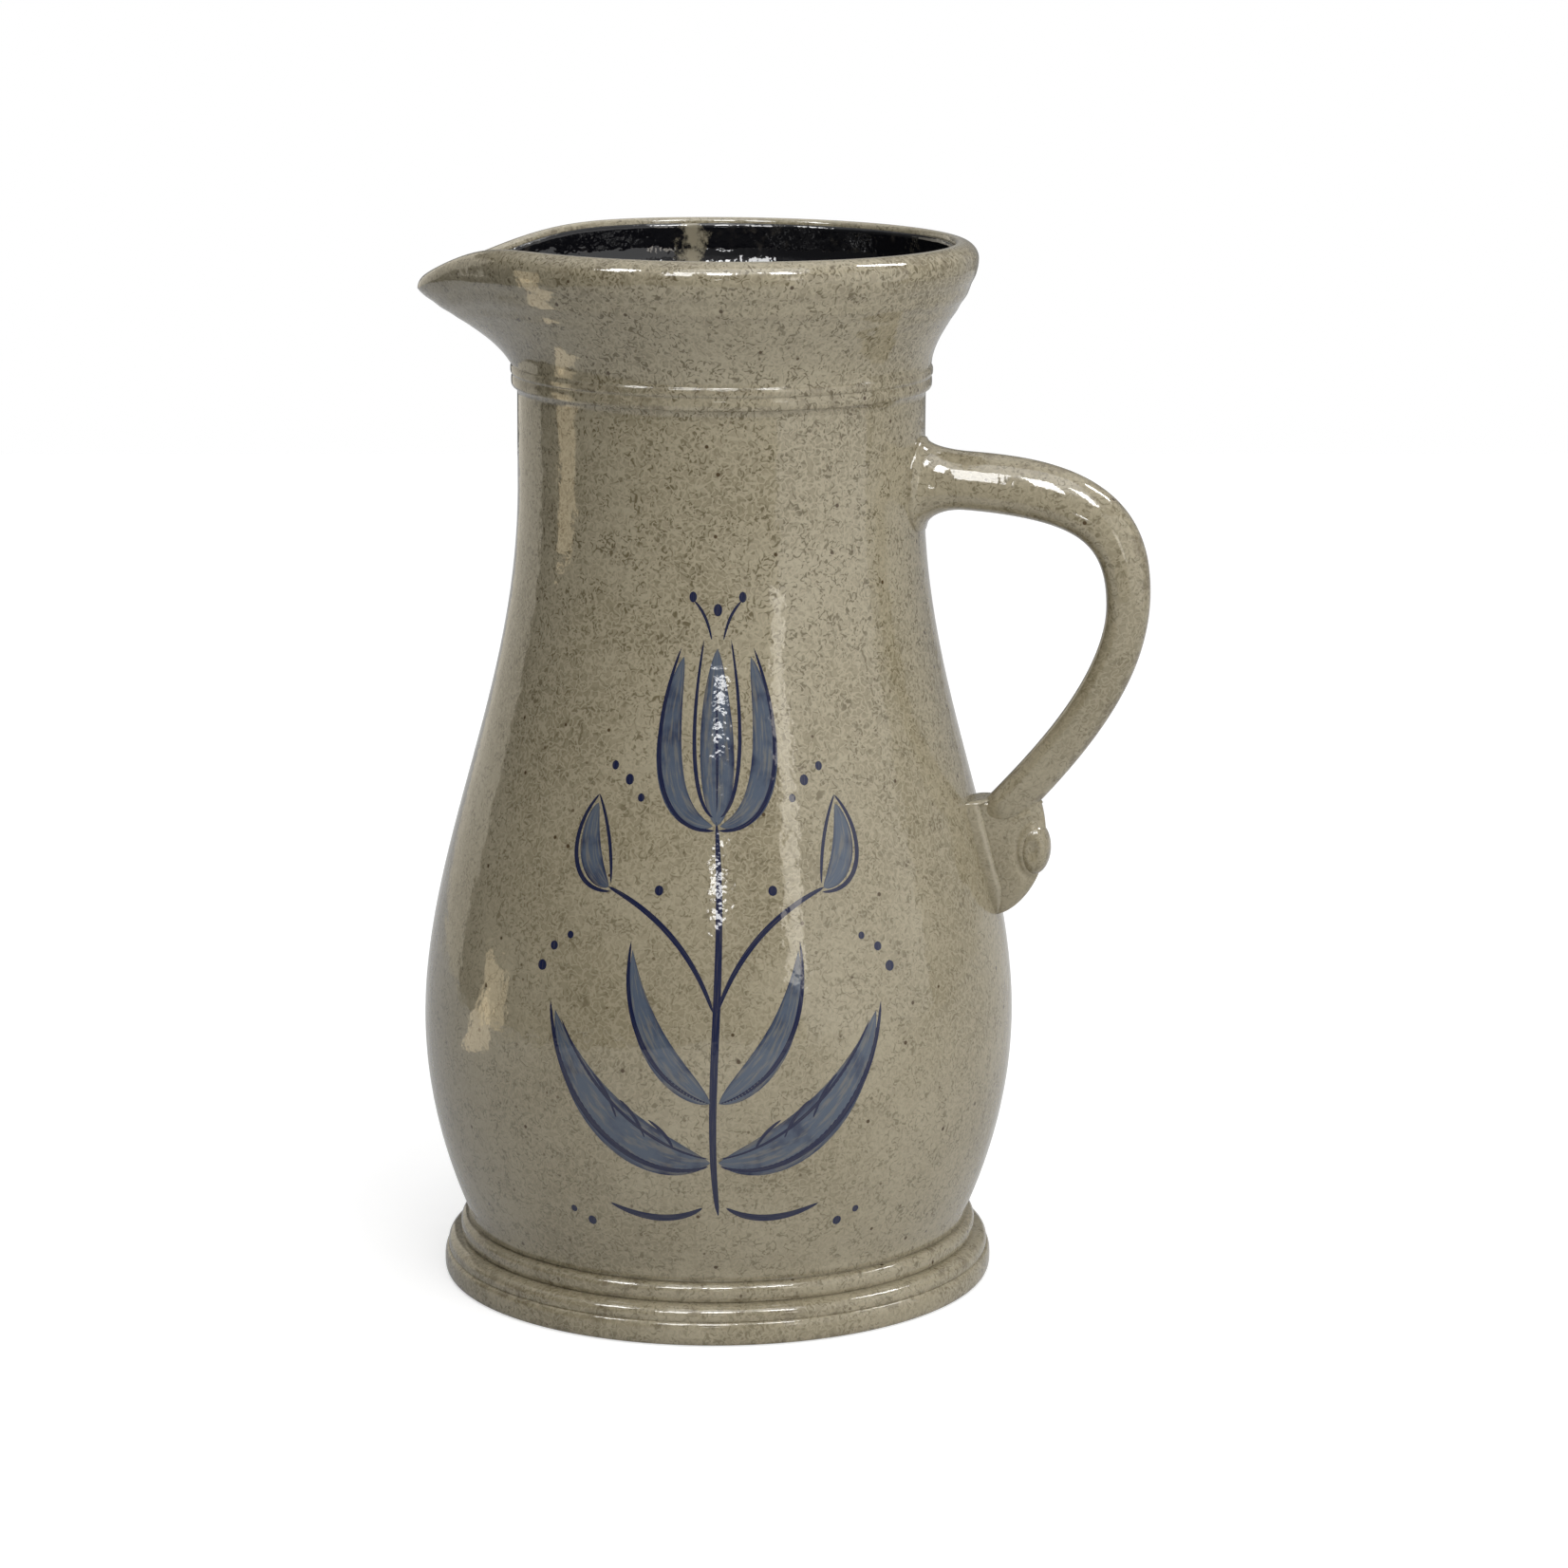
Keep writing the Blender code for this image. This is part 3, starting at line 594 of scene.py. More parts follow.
def salt_glaze(name="salt_glaze", grain=1.0):
    """Grey-tan salt glaze: dark and pale squiggles two millimetres apart that fade below the shoulder, which
    are partly the glaze's own mottle and partly painted shade and painted highlight of its orange peel, soft
    clouds, iron specks, brown where the glaze thins on ridges, and a pale line on an edge, thin glaze with a
    painted highlight. Grain is a share for the squiggles, the specks and the orange peel."""
    if name in bpy.data.materials:
        return bpy.data.materials[name]
    g = glazes()
    finish = Finish(name)
    clay, dark, pale, iron = tuple(g.clay), tuple(g.clay_dark), tuple(g.clay_pale), tuple(g.iron)
    cloud = finish.noise(30.0, 3.0, 0.55)
    # Dark veins and pale threads: partly the glaze's own mottle, partly painted shade and painted highlight
    # of its orange-peel relief.
    dark_vein_and_shade = abs(finish.noise(650.0, 0.0, 0.5, 0.5) - 0.5).ramp(0.10, 0.02)
    pale_thread_and_highlight = abs(finish.noise(700.0, 0.0, 0.5, 0.6) - 0.5).ramp(0.12, 0.02)
    clump = finish.noise(240.0, 1.0, 0.5).ramp(0.36, 0.62)
    share = (0.70 + finish.part(finish.place, 2).ramp(0.08, 0.20) * 0.40) * grain
    fine = finish.noise(1600.0, 2.0, 0.6)
    patch = finish.noise(120.0, 2.0, 0.5)
    speck = finish.cells(300.0).ramp(0.15, 0.09) * patch.ramp(0.52, 0.58)
    dot = finish.cells(135.0).ramp(0.085, 0.050) * finish.noise(45.0, 1.0, 0.5).ramp(0.36, 0.46)
    ridge = finish.attribute("ridge") * finish.noise(230.0, 3.0, 0.65).ramp(0.50, 0.66)
    bloom = tuple(1.12 * part for part in pale)
    tone = finish.mix(cloud.ramp(0.32, 0.70), clay, pale)
    tone = finish.mix(patch.ramp(0.45, 0.75) * 0.30, tone, dark)
    tone = finish.mix(dark_vein_and_shade * (0.28 + clump * 0.67) * share, tone, dark)
    tone = finish.mix(pale_thread_and_highlight * share * 0.72, tone, bloom)
    tone = finish.mix(fine.ramp(0.55, 0.75) * share * 0.22, tone, dark)
    tone = finish.mix((speck * (0.55 * grain) + dot * 0.95 + ridge * 0.35).clamped(), tone, iron)
    # Pale line on the rim's crest and the terminal's edge ridge: thin glaze with a painted highlight.
    tone = finish.mix(finish.attribute("crest") * 0.8, tone, tuple(g.thin_edge_and_highlight))
    return finish.set(
        Base_Color=tone,
        Roughness=0.035 + fine * 0.05,
        IOR=1.52,
        Normal=finish.relief(glaze_skin(finish, 0.00009 * grain, 0.00030)),
    )


def strap_glaze():
    """The same glaze on the handle, smoother where the wet hand pulled the clay."""
    return salt_glaze("strap_glaze", 0.70)


def dark_slip():
    """Near-black glossy slip with brown flecks, a mottled pale patch under the far rim that is a painted
    reflection, and an uneven, pitted face that breaks up its reflections."""
    g = glazes()
    finish = Finish("dark_slip")
    fleck = finish.noise(210.0, 3.0, 0.6).ramp(0.58, 0.72)
    tone = finish.mix(fleck * 0.45, tuple(g.slip), tuple(g.slip_fleck))
    side, depth, height = (finish.part(finish.place, number) for number in range(3))
    # Painted reflection: a mottled pale patch on the far inside wall, under the rim.
    run = abs((side + 0.018) / 0.0060) + finish.noise(330.0, 4.0, 0.7) * 2.4
    run = run.ramp(1.85, 1.25) * depth.ramp(0.0, 0.01) * height.ramp(0.19, 0.235)
    tone = finish.mix(run * 0.8, tone, tuple(g.clay_pale))
    return finish.set(
        Base_Color=tone,
        Roughness=0.05 + fleck * 0.12,
        IOR=1.55,
        Normal=finish.relief(glaze_skin(finish, 0.00022, 0.00050)),
    )


def cobalt(name, tint, thinness):
    """Brushed cobalt under the same glaze: streaked along the stroke, pooled at its edges, and with the
    clay showing through where the brush ran thin."""
    g = glazes()
    finish = Finish(name)
    brush = finish.attribute("brush", "Vector")
    along = finish.node("ShaderNodeMapping", values={"Vector": brush, "Scale": (3.2, 90.0, 1.0)})
    streak = finish.noise(1.6, 3.0, 0.6, at=along)
    edge = abs(finish.part(brush, 0)).ramp(0.62, 1.0)
    pool = finish.noise(130.0, 3.0, 0.6)
    tone = finish.mix((edge * 0.50 + pool.ramp(0.45, 0.72) * 0.60).clamped(), tint, tuple(g.cobalt))
    tone = finish.mix(streak.ramp(0.46, 0.66) * thinness, tone, tuple(g.clay))
    return finish.set(
        Base_Color=tone,
        Roughness=0.035 + pool * 0.05,
        IOR=1.52,
        Normal=finish.relief(glaze_skin(finish, 0.00009, 0.00030)),
    )


# Cobalt spray, on the wall as it faces the camera.


def on_wall(s, across, height, lift):
    """Points on the wall: across is the distance round it from the middle of the spray, at the belly's
    radius, and lift is the height off the glaze."""
    angle = studio().azimuth - math.pi / 2 + across / BELLY_RADIUS
    r = wall_radius(s, height) + lift
    return np.stack([r * np.cos(angle), r * np.sin(angle), height], axis=-1)


def stroke(controls, width, power=0.35, skew=1.0, count=40):
    """One brush stroke along a cubic curve on the wall, in millimetres. Its width is four s(1 - s), raised to
    a power, times the full width, where s is the share of the way raised to the skew: a small power gives
    an even line, one half gives a round dab and one gives a leaf. It gives rows of rings round the stroke
    and, for each point, its place across the stroke, along it, and on the jug."""
    s = sizes()
    path = bezier(controls, count) / 1000.0
    step = np.gradient(path, axis=0)
    step /= np.linalg.norm(step, axis=1, keepdims=True)
    t = np.linspace(0.0, 1.0, count) ** skew
    half = width / 2000.0 * np.maximum(4 * t * (1 - t), 0.0005)[:, None] ** power
    side, lift = np.array([STROKE_SIDE]), np.array([STROKE_LIFT])
    across = path[:, :1] - step[:, 1:] * half * side
    height = path[:, 1:] + step[:, :1] * half * side
    travel = np.cumsum(np.linalg.norm(np.gradient(path, axis=0), axis=1))[:, None]
    brush = np.stack(np.broadcast_arrays(side, travel, path[:1, 1:] * 400.0 + path[:1, :1] * 900.0), axis=-1)
    return on_wall(s, across, height, lift + 0.0 * across), brush


def strokes_object(name, strokes, material):
    """All strokes of one kind as one mesh of closed strips."""
    points, brushes, quads, triangles, start = [], [], [], [], 0
    for rings, brush in strokes:
        count, sides = rings.shape[:2]
        points += [rings.reshape(-1, 3), middles(rings)]
        brushes += [brush.reshape(-1, 3), middles(brush)]
        quads.append(grid_faces(count, sides) + start)
        triangles.append(pole_faces(count, sides) + start)
        start += count * sides + 2
    points = np.concatenate(points)
    obj = mesh_object(
        name,
        leaned(points),
        np.concatenate(quads),
        np.concatenate(triangles),
        material,
        marks={"brush": np.concatenate(brushes)},
    )
    obj.data.normals_split_custom_set_from_vertices(wall_normals(points).tolist())
    return obj


def wall_normals(points):
    """Outward directions of the wall at these points: radial, tipped by the slope of the radius."""
    s, reach = sizes(), 0.0002
    z = points[:, 2]
    slope = (wall_radius(s, z + reach) - wall_radius(s, z - reach)) / (2 * reach)
    normals = np.column_stack([points[:, :2] / np.hypot(points[:, :1], points[:, 1:2]), -slope])
    return normals / np.linalg.norm(normals, axis=1, keepdims=True)


def both_sides(controls):
    """The same curve on the right and on the left of the stem."""
    return [controls, [(-a, z) for a, z in controls]]


def dab(a, z, size):
    """A round touch of the brush."""
    line = [(a, z - size / 2), (a, z - size / 6), (a, z + size / 6), (a, z + size / 2)]
    return stroke(line, size, 0.5, count=14)


def spray_washes():
    """Broad pale strokes: petals, buds and leaves."""
    strokes = [stroke([(0, 127), (1, 138), (-1, 152), (0, 168)], 10.5, 0.75, 0.9)]
    for side in both_sides([(1, 127), (15, 128), (18, 146), (11, 166)]):
        strokes.append(stroke(side, 8.0, 0.7, 1.1))
    for side in both_sides([(1, 47), (15, 46), (32, 56), (41, 82)]):
        strokes.append(stroke(side, 12.0, 0.9, 0.9))
    for side in both_sides([(1, 62), (8, 66), (19, 76), (21, 98)]):
        strokes.append(stroke(side, 7.5, 0.9, 0.9))
    for side in both_sides([(29, 112), (35, 115), (38, 122), (35, 131)]):
        strokes.append(stroke(side, 6.5, 0.7))
    return strokes


def spray_lines():
    """Fine dark strokes: stems, outlines, veins and dabs."""
    strokes = [stroke([(1, 33), (-3, 60), (3, 95), (0, 128)], 1.9, 0.25)]
    strokes.append(stroke([(0, 130), (0.6, 140), (-0.6, 150), (0, 160)], 1.1, 0.5))
    curves = [
        ([(0.5, 126), (17, 125), (23, 146), (12, 168)], 1.5, 0.4),
        ([(1, 129), (7, 132), (9, 150), (4.5, 170)], 1.2, 0.4),
        ([(1.5, 46), (17, 41), (38, 54), (42.5, 84)], 1.7, 0.4),
        ([(1.5, 48), (14, 50), (28, 60), (39, 80)], 1.0, 0.4),
        ([(1, 62), (10, 64), (24, 76), (21.5, 100)], 1.4, 0.4),
        ([(0.5, 84), (6, 100), (17, 108), (29, 112)], 1.4, 0.3),
        ([(28.5, 111), (41, 110), (44, 124), (35, 133)], 1.3, 0.4),
        ([(28.5, 113), (29, 120), (31, 127), (35, 133)], 1.0, 0.4),
        ([(3, 35), (9, 31), (18, 31), (27, 35)], 1.8, 0.5),
        ([(2, 170), (3, 174), (5, 177), (8, 179)], 0.9, 0.4),
        ([(10, 50.5), (11, 53), (13, 55.5), (16, 57.5)], 0.9, 0.5),
        ([(17, 53), (18, 56), (20, 59.5), (23, 62)], 0.9, 0.5),
        ([(24, 57.5), (25, 61), (27, 65), (30, 68)], 0.9, 0.5),
    ]
    for controls, width, power in curves:
        strokes += [stroke(side, width, power) for side in both_sides(controls)]
    dabs = [(8.5, 180, 2.6), (26, 137, 2.6), (31, 140, 2.2), (22, 133, 2.0), (15, 112, 2.4), (46, 92, 2.6)]
    dabs += [(43, 97, 2.2), (38.5, 100, 1.8), (33, 29.5, 2.4), (38, 32, 1.8)]
    for a, z, size in dabs:
        strokes += [dab(a, z, size), dab(-a, z, size)]
    strokes.append(dab(0, 177, 3.0))
    return strokes


# Operators.


class PITCHER_OT_wall(bpy.types.Operator):
    """Turn the clay: foot, wall, cordon, neck, rim and lip as one glazed surface"""

    bl_idname = "pitcher.wall"
    bl_label = "Clay wall"

    def execute(self, context):
        s = sizes()
        path = outside_path(s)
        outer = turned(s, path, s.lip_reach, WALL_SEGMENTS)
        inner = turned(s, inside_path(s, 0.0, 16)[::-1], s.lip_reach + s.lip_thinning, WALL_SEGMENTS)
        ends = ((0.0, 0.0, 0.0), (0.0, 0.0, s.floor))
        rings = np.concatenate([outer, inner[1:]])
        spare = np.zeros(len(rings) - len(path))
        # The crest mark is a pale line on the rim's crest: thin glaze with a painted highlight.
        from_crest = (path - (RIM_RADIUS - s.crest_inset, rim_height(s))) / s.crest_width
        marks = {
            "ridge": np.concatenate([np.clip(roundness(path) * s.ridge_radius, 0.0, 1.0), spare])[:, None],
            "crest": np.concatenate([np.exp(-(from_crest**2).sum(axis=1)), spare])[:, None],
        }
        ring_solid(
            "clay_wall",
            rings,
            ends,
            salt_glaze(),
            ("thrown_body", "foot_ring", "neck_section"),
            marks=marks,
        )
        return {"FINISHED"}


class PITCHER_OT_lining(bpy.types.Operator):
    """Line the inside with dark slip"""

    bl_idname = "pitcher.lining"
    bl_label = "Slip lining"

    def execute(self, context):
        s = sizes()
        reach = s.lip_reach + s.lip_thinning
        back = turned(s, inside_path(s, s.lining_gap, 20), reach, LINING_SEGMENTS)
        face = turned(s, inside_path(s, s.lining, 60)[::-1], reach, LINING_SEGMENTS)
        ends = ((0.0, 0.0, s.floor + s.lining_gap), (0.0, 0.0, s.floor + s.lining))
        rings = np.concatenate([back, face])
        ring_solid("slip_coat", rings, ends, dark_slip(), ("slip_lining",))
        return {"FINISHED"}


def strap_line(s, h):
    """The strap's centre line, with its points closer together near the root: rows of (x, z), the direction
    at each, the distance from the root and the share of the way."""
    path = handle_path(s, h, STRAP_ROWS)
    last = len(path) - 1
    close = ROOT_ROWS / 2 * np.linspace(0.0, 1.0, ROOT_ROWS) ** 2
    place = np.concatenate([close, np.arange(ROOT_ROWS / 2 + 1.0, last + 0.5)])
    path = np.column_stack([np.interp(place, np.arange(last + 1), column) for column in path.T])
    step = np.gradient(path, place, axis=0)
    step = step / np.linalg.norm(step, axis=1, keepdims=True)
    travel = np.concatenate([[0.0], np.cumsum(np.linalg.norm(np.diff(path, axis=0), axis=1))])
    return path, step, travel[:, None], place[:, None] / last


def strap_rings(s, h, up, side):
    """Rings round the strap for a section given by how far its points face outwards and sideways. It goes
    from the root's size to the tail's in a smooth step, wider on its inner side. The root spreads as a
    quarter round above its own rim and follows the wall, as a bell over the distance. The tail runs straight
    on into the terminal and narrows there."""
    path, step, travel, share = strap_line(s, h)
    share = smooth(h.strap_thinning * share - h.strap_hold)
    near = np.clip(1.0 - (travel - h.root_rim) / h.root_fillet, 0.0, 1.0)
    spread = h.root_spread * (1.0 - np.sqrt(1.0 - near**2))
    thickness = h.root_thickness + (h.tail_thickness - h.root_thickness) * share
    width = h.root_width + (h.tail_width - h.root_width) * share
    away = (thickness / 2 + spread * (0.75 - 0.25 * up)) * up
    half = width / 2 * (1.0 - h.strap_lean * up)
    y = (half + h.root_side * spread) * side
    x = path[:, :1] - step[:, 1:] * away
    z = path[:, 1:] + step[:, :1] * away
    curve = wall_face(s, y, z) - wall_face(s, 0.0, h.root_height) - h.wall_sink
    rings = np.stack([x + bell(travel, 0.0, h.root_curve) * curve, y, z], axis=-1)
    run = np.linspace(0.0, 1.0, TAIL_ROWS)[1:, None, None]
    sunk = rings[-1] + h.tail_sink * run * np.array([step[-1, 0], 0.0, step[-1, 1]])
    sunk[..., 1:2] *= 1.0 - h.tail_tuck * smooth(run)
    return np.concatenate([rings, sunk])


class PITCHER_OT_handle(bpy.types.Operator):
    """Pull the strap handle, with its upper root flared on to the wall"""

    bl_idname = "pitcher.handle"
    bl_label = "Handle"

    def execute(self, context):
        h = strap()
        around = np.linspace(0.0, 2 * math.pi, STRAP_SEGMENTS, endpoint=False)
        up, side = rounded(around, h.strap_power)
        rings = strap_rings(sizes(), h, up, side)
        marks = {"ridge": smooth((np.abs(up) - 0.45) / 0.4)}
        replaced = ("handle", "root_coil")
        ring_solid("strap_handle", rings, middles(rings), strap_glaze(), replaced, flip=True, marks=marks)
        return {"FINISHED"}


def terminal_size(h, z):
    """Half width, depth off the wall and edge of the terminal: a shield narrowing to its lower tip."""
    u = np.clip((h.landing_height - z) / h.terminal_length, 0.0, 1.0)
    half = (h.tail_width / 2 + h.terminal_margin) * (1.0 - u**h.shield_fullness) ** h.shield_tip
    depth = h.terminal_depth * (1.0 - u**2) ** h.terminal_taper
    return half, depth, np.minimum(h.flange_edge, depth / 3)


def boss_middle(s, h):
    """X and height of the middle of the boss, set back from the terminal's crown."""
    z = h.landing_height - h.boss_drop
    return float(wall_radius(s, z) + terminal_size(h, z)[1]) + h.boss_height - h.boss_depth, z


def terminal_half(s, h, z):
    """One side of the terminal's sections, from the crown out: the crown with the groove round the boss, the
    valley, and a raised edge that turns down to the wall. It gives x, y and a mark on the edge's ridge, for a
    pale line there of thin glaze with a painted highlight."""
    half, depth, edge = terminal_size(h, z)
    out, across = rounded(np.linspace(0.0, math.pi / 2, 44), 0.92)
    inner, valley = h.crown_share * half, h.valley_share * edge
    crown_y = inner * across
    crown_x = wall_face(s, crown_y, z + 0.0 * crown_y) + valley + (depth - valley) * out
    middle_x, middle_z = boss_middle(s, h)
    away = np.hypot((crown_x - middle_x) / h.boss_depth, (z - middle_z) / h.boss_rise)
    groove = h.boss_groove * bell(away, h.groove_place, h.groove_width) * smooth(2.0 * across)
    sweep = np.linspace(0.0, math.pi, 24)[1:]
    share = 0.5 - 0.5 * np.cos(sweep)
    edge_y = inner + (half - inner) * np.sin(sweep * 0.5) ** 0.9
    edge_x = valley * (1.0 - share) + h.ridge_share * edge * np.sin(sweep) ** 0.8 - h.wall_sink * share
    edge_x = wall_face(s, edge_y, z + 0.0 * edge_y) + edge_x
    y = np.concatenate([crown_y - groove, edge_y], axis=1)
    ridge = bell(sweep, 1.5, 0.35) + 0.0 * edge_y
    return np.concatenate([crown_x, edge_x], axis=1), y, np.concatenate([0.0 * crown_y, ridge], axis=1)


class PITCHER_OT_terminal(bpy.types.Operator):
    """Press on the shield-shaped terminal, with its ridged edge and its shoulder round the strap"""

    bl_idname = "pitcher.terminal"
    bl_label = "Terminal"

    def execute(self, context):
        s, h = sizes(), strap()
        fall = np.sin(np.linspace(0.0, 0.485 * math.pi, TERMINAL_ROWS))[:, None]
        z = h.landing_height - h.terminal_length * fall
        half = terminal_size(h, z)[0]
        side_x, side_y, side_ridge_highlight = terminal_half(s, h, z)
        back_y = half * np.linspace(1.0, -1.0, 9)[1:-1]
        back_x = wall_face(s, back_y, z + 0.0 * back_y) - 2.0 * h.wall_sink
        x = np.concatenate([side_x[:, ::-1], side_x[:, 1:], back_x], axis=1)
        y = np.concatenate([-side_y[:, ::-1], side_y[:, 1:], back_y], axis=1)
        ridge = np.concatenate([side_ridge_highlight[:, ::-1], side_ridge_highlight[:, 1:], 0.0 * back_y], axis=1)
        body = np.stack([x, y, z + 0.0 * x], axis=-1)
        sweep = np.radians(np.linspace(80.0, 0.0, 14))[:-1, None]
        shrink, rise = np.cos(sweep) ** 0.8, h.shoulder_rise * np.sin(sweep)
        middle = float(wall_radius(s, h.landing_height)) + h.landing_standoff
        shoulder_x = middle + rise / math.tan(h.tail_angle) + (x[:1] - middle) * shrink
        shoulder_z = h.landing_height + rise + 0.0 * shoulder_x
        rings = np.concatenate([np.stack([shoulder_x, y[:1] * shrink, shoulder_z], axis=-1), body])
        # The crest mark along the edge's ridge is a pale line: thin glaze with a painted highlight.
        marks = {"crest": 0.6 * np.concatenate([np.zeros_like(shoulder_x), ridge])}
        replaced = ("lower_terminal",)
        ring_solid("shield_terminal", rings, middles(rings), strap_glaze(), replaced, flip=True, marks=marks)
        return {"FINISHED"}


class PITCHER_OT_boss(bpy.types.Operator):
    """Roll the short oval boss across the terminal, with a hollow in each end"""

    bl_idname = "pitcher.boss"
    bl_label = "Boss"

    def execute(self, context):
        s, h = sizes(), strap()
        middle_x, middle_z = boss_middle(s, h)
        across, y = rounded(np.linspace(-0.49 * math.pi, 0.49 * math.pi, 40)[:, None], 0.8)
        angle = np.linspace(0.0, 2 * math.pi, BOSS_SEGMENTS, endpoint=False)
        x = middle_x + h.boss_depth * across * np.cos(angle)
        z = middle_z + h.boss_rise * across * np.sin(angle)
        y = h.boss_width * y * (1.0 - h.boss_dimple * bell(across, 0.0, 0.45))
        rings = np.stack([x, y + 0.0 * x, z], axis=-1)
        ring_solid("rolled_boss", rings, middles(rings), strap_glaze(), ("terminal_boss",), flip=True)
        return {"FINISHED"}


class PITCHER_OT_spray(bpy.types.Operator):
    """Brush a simple cobalt spray on the wall: a bloom on a stem, paired leaves and berries"""

    bl_idname = "pitcher.spray"
    bl_label = "Cobalt spray"

    def execute(self, context):
        g = glazes()
        strokes_object("cobalt_wash", spray_washes(), cobalt("cobalt_wash", tuple(g.wash), 0.34))
        strokes_object("cobalt_line", spray_lines(), cobalt("cobalt_line", tuple(g.cobalt), 0.12))
        return {"FINISHED"}


class PITCHER_OT_stage(bpy.types.Operator):
    """Set up the pale studio, its lights and the camera"""

    bl_idname = "pitcher.stage"
    bl_label = "Studio"

    def execute(self, context):
        add_floor()
        add_world()
        add_lights()
        add_camera()
        context.scene.view_settings.view_transform = "Standard"
        return {"FINISHED"}


def facing():
    """Level directions of the camera's right and of its view, as (x, y)."""
    turned_by = studio().azimuth
    return (
        np.array([math.cos(turned_by), math.sin(turned_by)]),
        np.array([-math.sin(turned_by), math.cos(turned_by)]),
    )


def add_floor():
    """A level sheet of paper under the jug that keeps the shadow: white to the camera, dim in reflections."""
    v = studio()
    right, ahead = facing()
    corners = [(-v.paper_left, -v.paper_front), (v.paper_right, -v.paper_front)]
    corners += [(v.paper_right, v.paper_back), (-v.paper_left, v.paper_back)]
    flat = np.array([a * right + b * ahead for a, b in corners])
    points = np.column_stack([flat, np.full(4, -2.0 * HAIR)])
    mesh = bpy.data.meshes.new("studio_paper")
    mesh.from_pydata(points.tolist(), [], [(0, 1, 2, 3)])
    floor = bpy.data.objects.new("studio_paper", mesh)
    bpy.context.scene.collection.objects.link(floor)
    finish = Finish("studio_paper")
    tone = finish.mix(finish.noise(90.0, 2.0, 0.5), (0.54, 0.54, 0.54), (0.58, 0.58, 0.58))
    seen = finish.light_path("Is Camera Ray", "Is Transmission Ray")
    mirrored = finish.light_path("Is Glossy Ray")
    glow = finish.mix(mirrored, (0.0, 0.0, 0.0), (v.paper_mirror,) * 3)
    glow = finish.mix(seen, glow, (v.paper_glow,) * 3)
    mesh.materials.append(
        finish.set(
            Base_Color=tone, Roughness=0.9, Specular_IOR_Level=0.0, Emission_Color=glow, Emission_Strength=1.0
        )
    )


def add_world():
    """A plain room: dim, dimmest on the left, paler overhead, and white to the camera."""
    v = studio()
    world = bpy.data.worlds.new("studio_room")
    world.use_nodes = True
    bpy.context.scene.world = world
    nodes = Nodes(world.node_tree)
    way = nodes.node("ShaderNodeTexCoord", output="Generated")
    height = nodes.part(way, 2)
    leftwards = {0: way, 1: (*-facing()[0], 0.0)}
    left = nodes.node("ShaderNodeVectorMath", {"operation": "DOT_PRODUCT"}, leftwards, "Value")
    room = v.room * (1.0 - v.left_dim * left.ramp(-0.1, 0.6)) + v.ceiling * height.ramp(0.40, 0.95)
    seen = nodes.light_path("Is Camera Ray", "Is Transmission Ray")
    backdrop = nodes.tree.nodes["Background"]
    nodes.plug(backdrop.inputs["Color"], (1.0, 1.0, 1.0, 1.0))
    nodes.plug(backdrop.inputs["Strength"], seen + (1.0 - seen) * room)


def add_panel(name, azimuth, elevation, distance, width, height, brightness, **manner):
    """A flat rectangular light at an angle round the jug from the camera's side and another above the floor,
    in degrees, aimed at the jug's middle."""
    angle = studio().azimuth + math.radians(azimuth) - math.pi / 2
    rise = math.radians(elevation)
    out = np.array([math.cos(angle) * math.cos(rise), math.sin(angle) * math.cos(rise), math.sin(rise)])
    lamp = add_light(name, width, height, brightness, **manner)
    lamp.location = out * distance + np.array([0.0, 0.0, rim_height(sizes()) / 2])
    lamp.rotation_euler = (math.pi / 2 - rise, 0.0, angle + math.pi / 2)


def add_light(name, width, height, brightness, tint=(1.0, 1.0, 1.0), lights=True, mirrors=True):
    """A rectangular light that the camera doesn't see. Its power follows from how bright its face looks. It
    may only light the clay, or only show in the glaze."""
    light = bpy.data.lights.new(name, "AREA")
    light.shape = "RECTANGLE"
    light.size, light.size_y = width, height
    light.energy = brightness * math.pi * width * height
    light.color = tint
    lamp = bpy.data.objects.new(name, light)
    lamp.visible_camera = False
    lamp.visible_diffuse, lamp.visible_glossy = lights, mirrors
    bpy.context.scene.collection.objects.link(lamp)
    return lamp


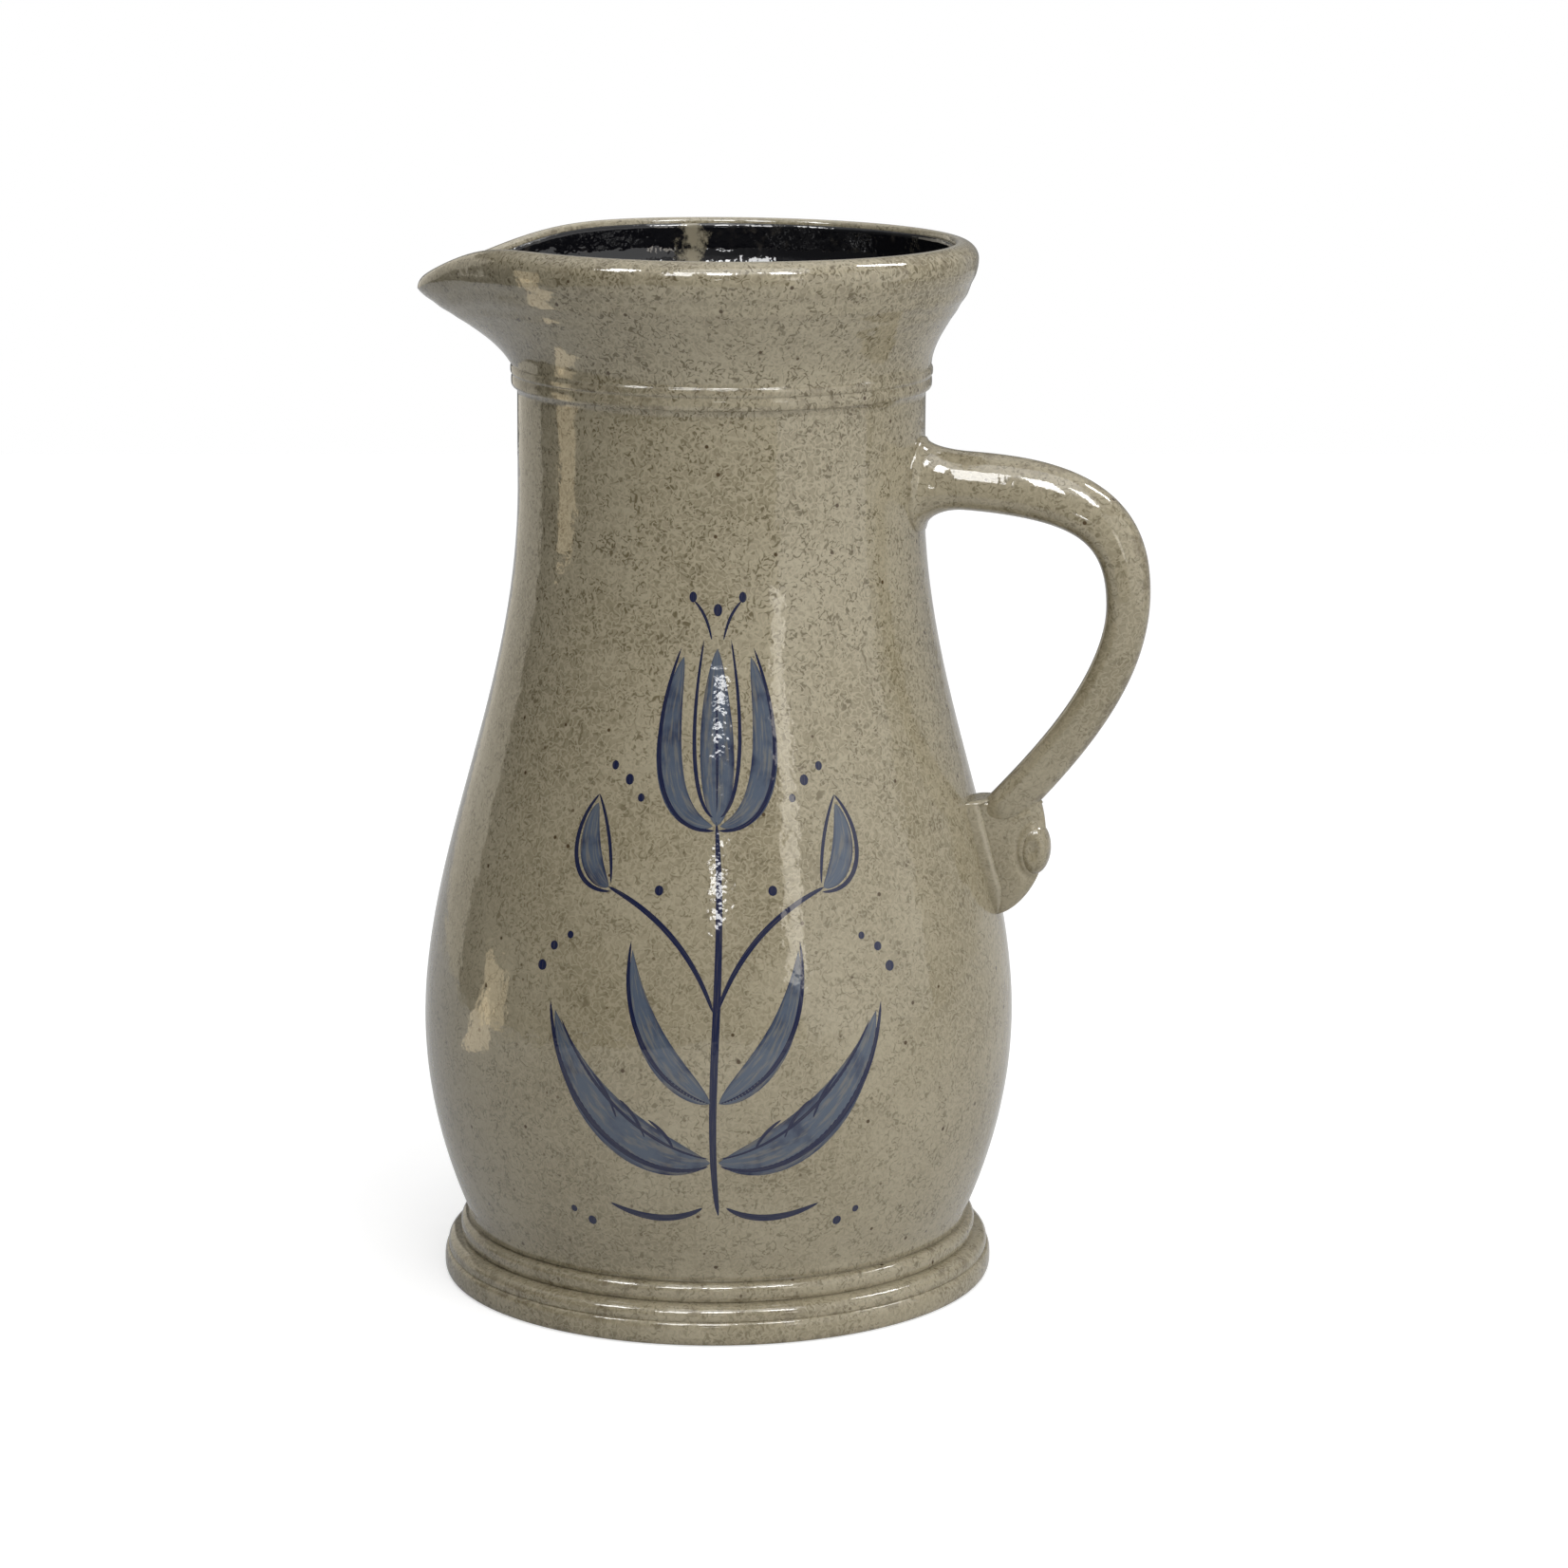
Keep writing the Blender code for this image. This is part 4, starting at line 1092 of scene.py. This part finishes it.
def add_lights():
    """White panels on the right, overhead and far back on the left, a small lamp in front, a soft fill, a far
    strip on the left with its end along the floor, and tall lamps set so high that only the mouldings, the
    rim and the handle mirror them."""
    warm = (1.0, 0.80, 0.50)
    add_panel("right_panel", 60.5, 12.0, 1.8, 2.04, 1.75, 0.86)
    add_panel("far_right_panel", 120.0, 12.0, 1.8, 2.04, 1.75, 0.20)
    add_panel("window_edge", 31.0, 11.0, 1.75, 0.22, 0.50, 3.6, tint=(1.0, 0.94, 0.82), lights=False)
    add_panel("front_lamp", 0.5, 14.0, 1.6, 0.16, 0.05, 17.0)
    add_panel("top_sheet", 20.0, 66.0, 1.8, 1.20, 1.20, 2.3)
    add_panel("front_fill", 18.0, 16.0, 1.8, 1.00, 1.00, 3.3, mirrors=False)
    for name, azimuth in (("front", 1.0), ("window", 34.0), ("right", 112.0), ("left", -59.0)):
        add_panel(name + "_high_lamp", azimuth, 51.0, 1.65, 0.26, 0.45, 22.0, lights=False)
    add_panel("handle_lamp", -21.0, 46.0, 1.65, 0.30, 0.70, 14.0, lights=False)
    add_panel("left_strip", -96.0, -11.0, 3.0, 0.70, 1.00, 1.9, tint=warm, lights=False)
    add_panel("left_back_panel", -141.0, 4.0, 2.2, 1.70, 1.60, 0.78, tint=(1.0, 0.92, 0.76), lights=False)
    strip = add_light("left_floor_strip", 0.50, 0.10, 1.9, tint=warm, lights=False)
    angle = studio().azimuth + math.radians(-98.0) - math.pi / 2
    strip.location = (0.57 * math.cos(angle), 0.57 * math.sin(angle), 0.001)
    strip.rotation_euler = (math.pi, 0.0, angle)


def add_camera():
    """The photograph's viewpoint: a level distance, a height and a pitch, with the foot left of centre."""
    v = studio()
    data = bpy.data.cameras.new("photo_camera")
    data.sensor_fit = "HORIZONTAL"
    data.sensor_width = 36.0
    data.lens = 36.0 * v.focal_share
    data.clip_end = 50.0
    camera = bpy.data.objects.new("photo_camera", data)
    right, forward = facing()
    depth = v.distance * math.cos(v.pitch) + v.height * math.sin(v.pitch)
    slide = (0.5 - v.centre_share) * depth / v.focal_share
    place = -v.distance * forward + slide * right
    camera.location = (place[0], place[1], v.height)
    camera.rotation_euler = (math.pi / 2 - v.pitch, 0.0, v.azimuth)
    bpy.context.scene.collection.objects.link(camera)
    bpy.context.scene.camera = camera


class PITCHER_PT_panel(bpy.types.Panel):
    """Buttons for each piece of the pitcher"""

    bl_idname = "PITCHER_PT_panel"
    bl_label = "Pitcher"
    bl_space_type = "VIEW_3D"
    bl_region_type = "UI"
    bl_category = "Pitcher"

    def draw(self, context):
        for operator in OPERATORS:
            self.layout.operator(operator.bl_idname)


GROUPS = {
    "pitcher_sizes": PitcherSizes,
    "pitcher_handle": HandleSizes,
    "pitcher_glazes": GlazeColours,
    "pitcher_studio": StudioSettings,
}
OPERATORS = (
    PITCHER_OT_wall,
    PITCHER_OT_lining,
    PITCHER_OT_handle,
    PITCHER_OT_terminal,
    PITCHER_OT_boss,
    PITCHER_OT_spray,
    PITCHER_OT_stage,
)


def register():
    for cls in (*GROUPS.values(), *OPERATORS, PITCHER_PT_panel):
        bpy.utils.register_class(cls)
    for name, group in GROUPS.items():
        setattr(bpy.types.Scene, name, bpy.props.PointerProperty(type=group))


def unregister():
    for name in GROUPS:
        delattr(bpy.types.Scene, name)
    for cls in (PITCHER_PT_panel, *reversed(OPERATORS), *reversed(GROUPS.values())):
        bpy.utils.unregister_class(cls)


def main():
    register()
    for operator in OPERATORS:
        getattr(bpy.ops.pitcher, operator.bl_idname.split(".")[1])()


if __name__ == "__main__":
    main()
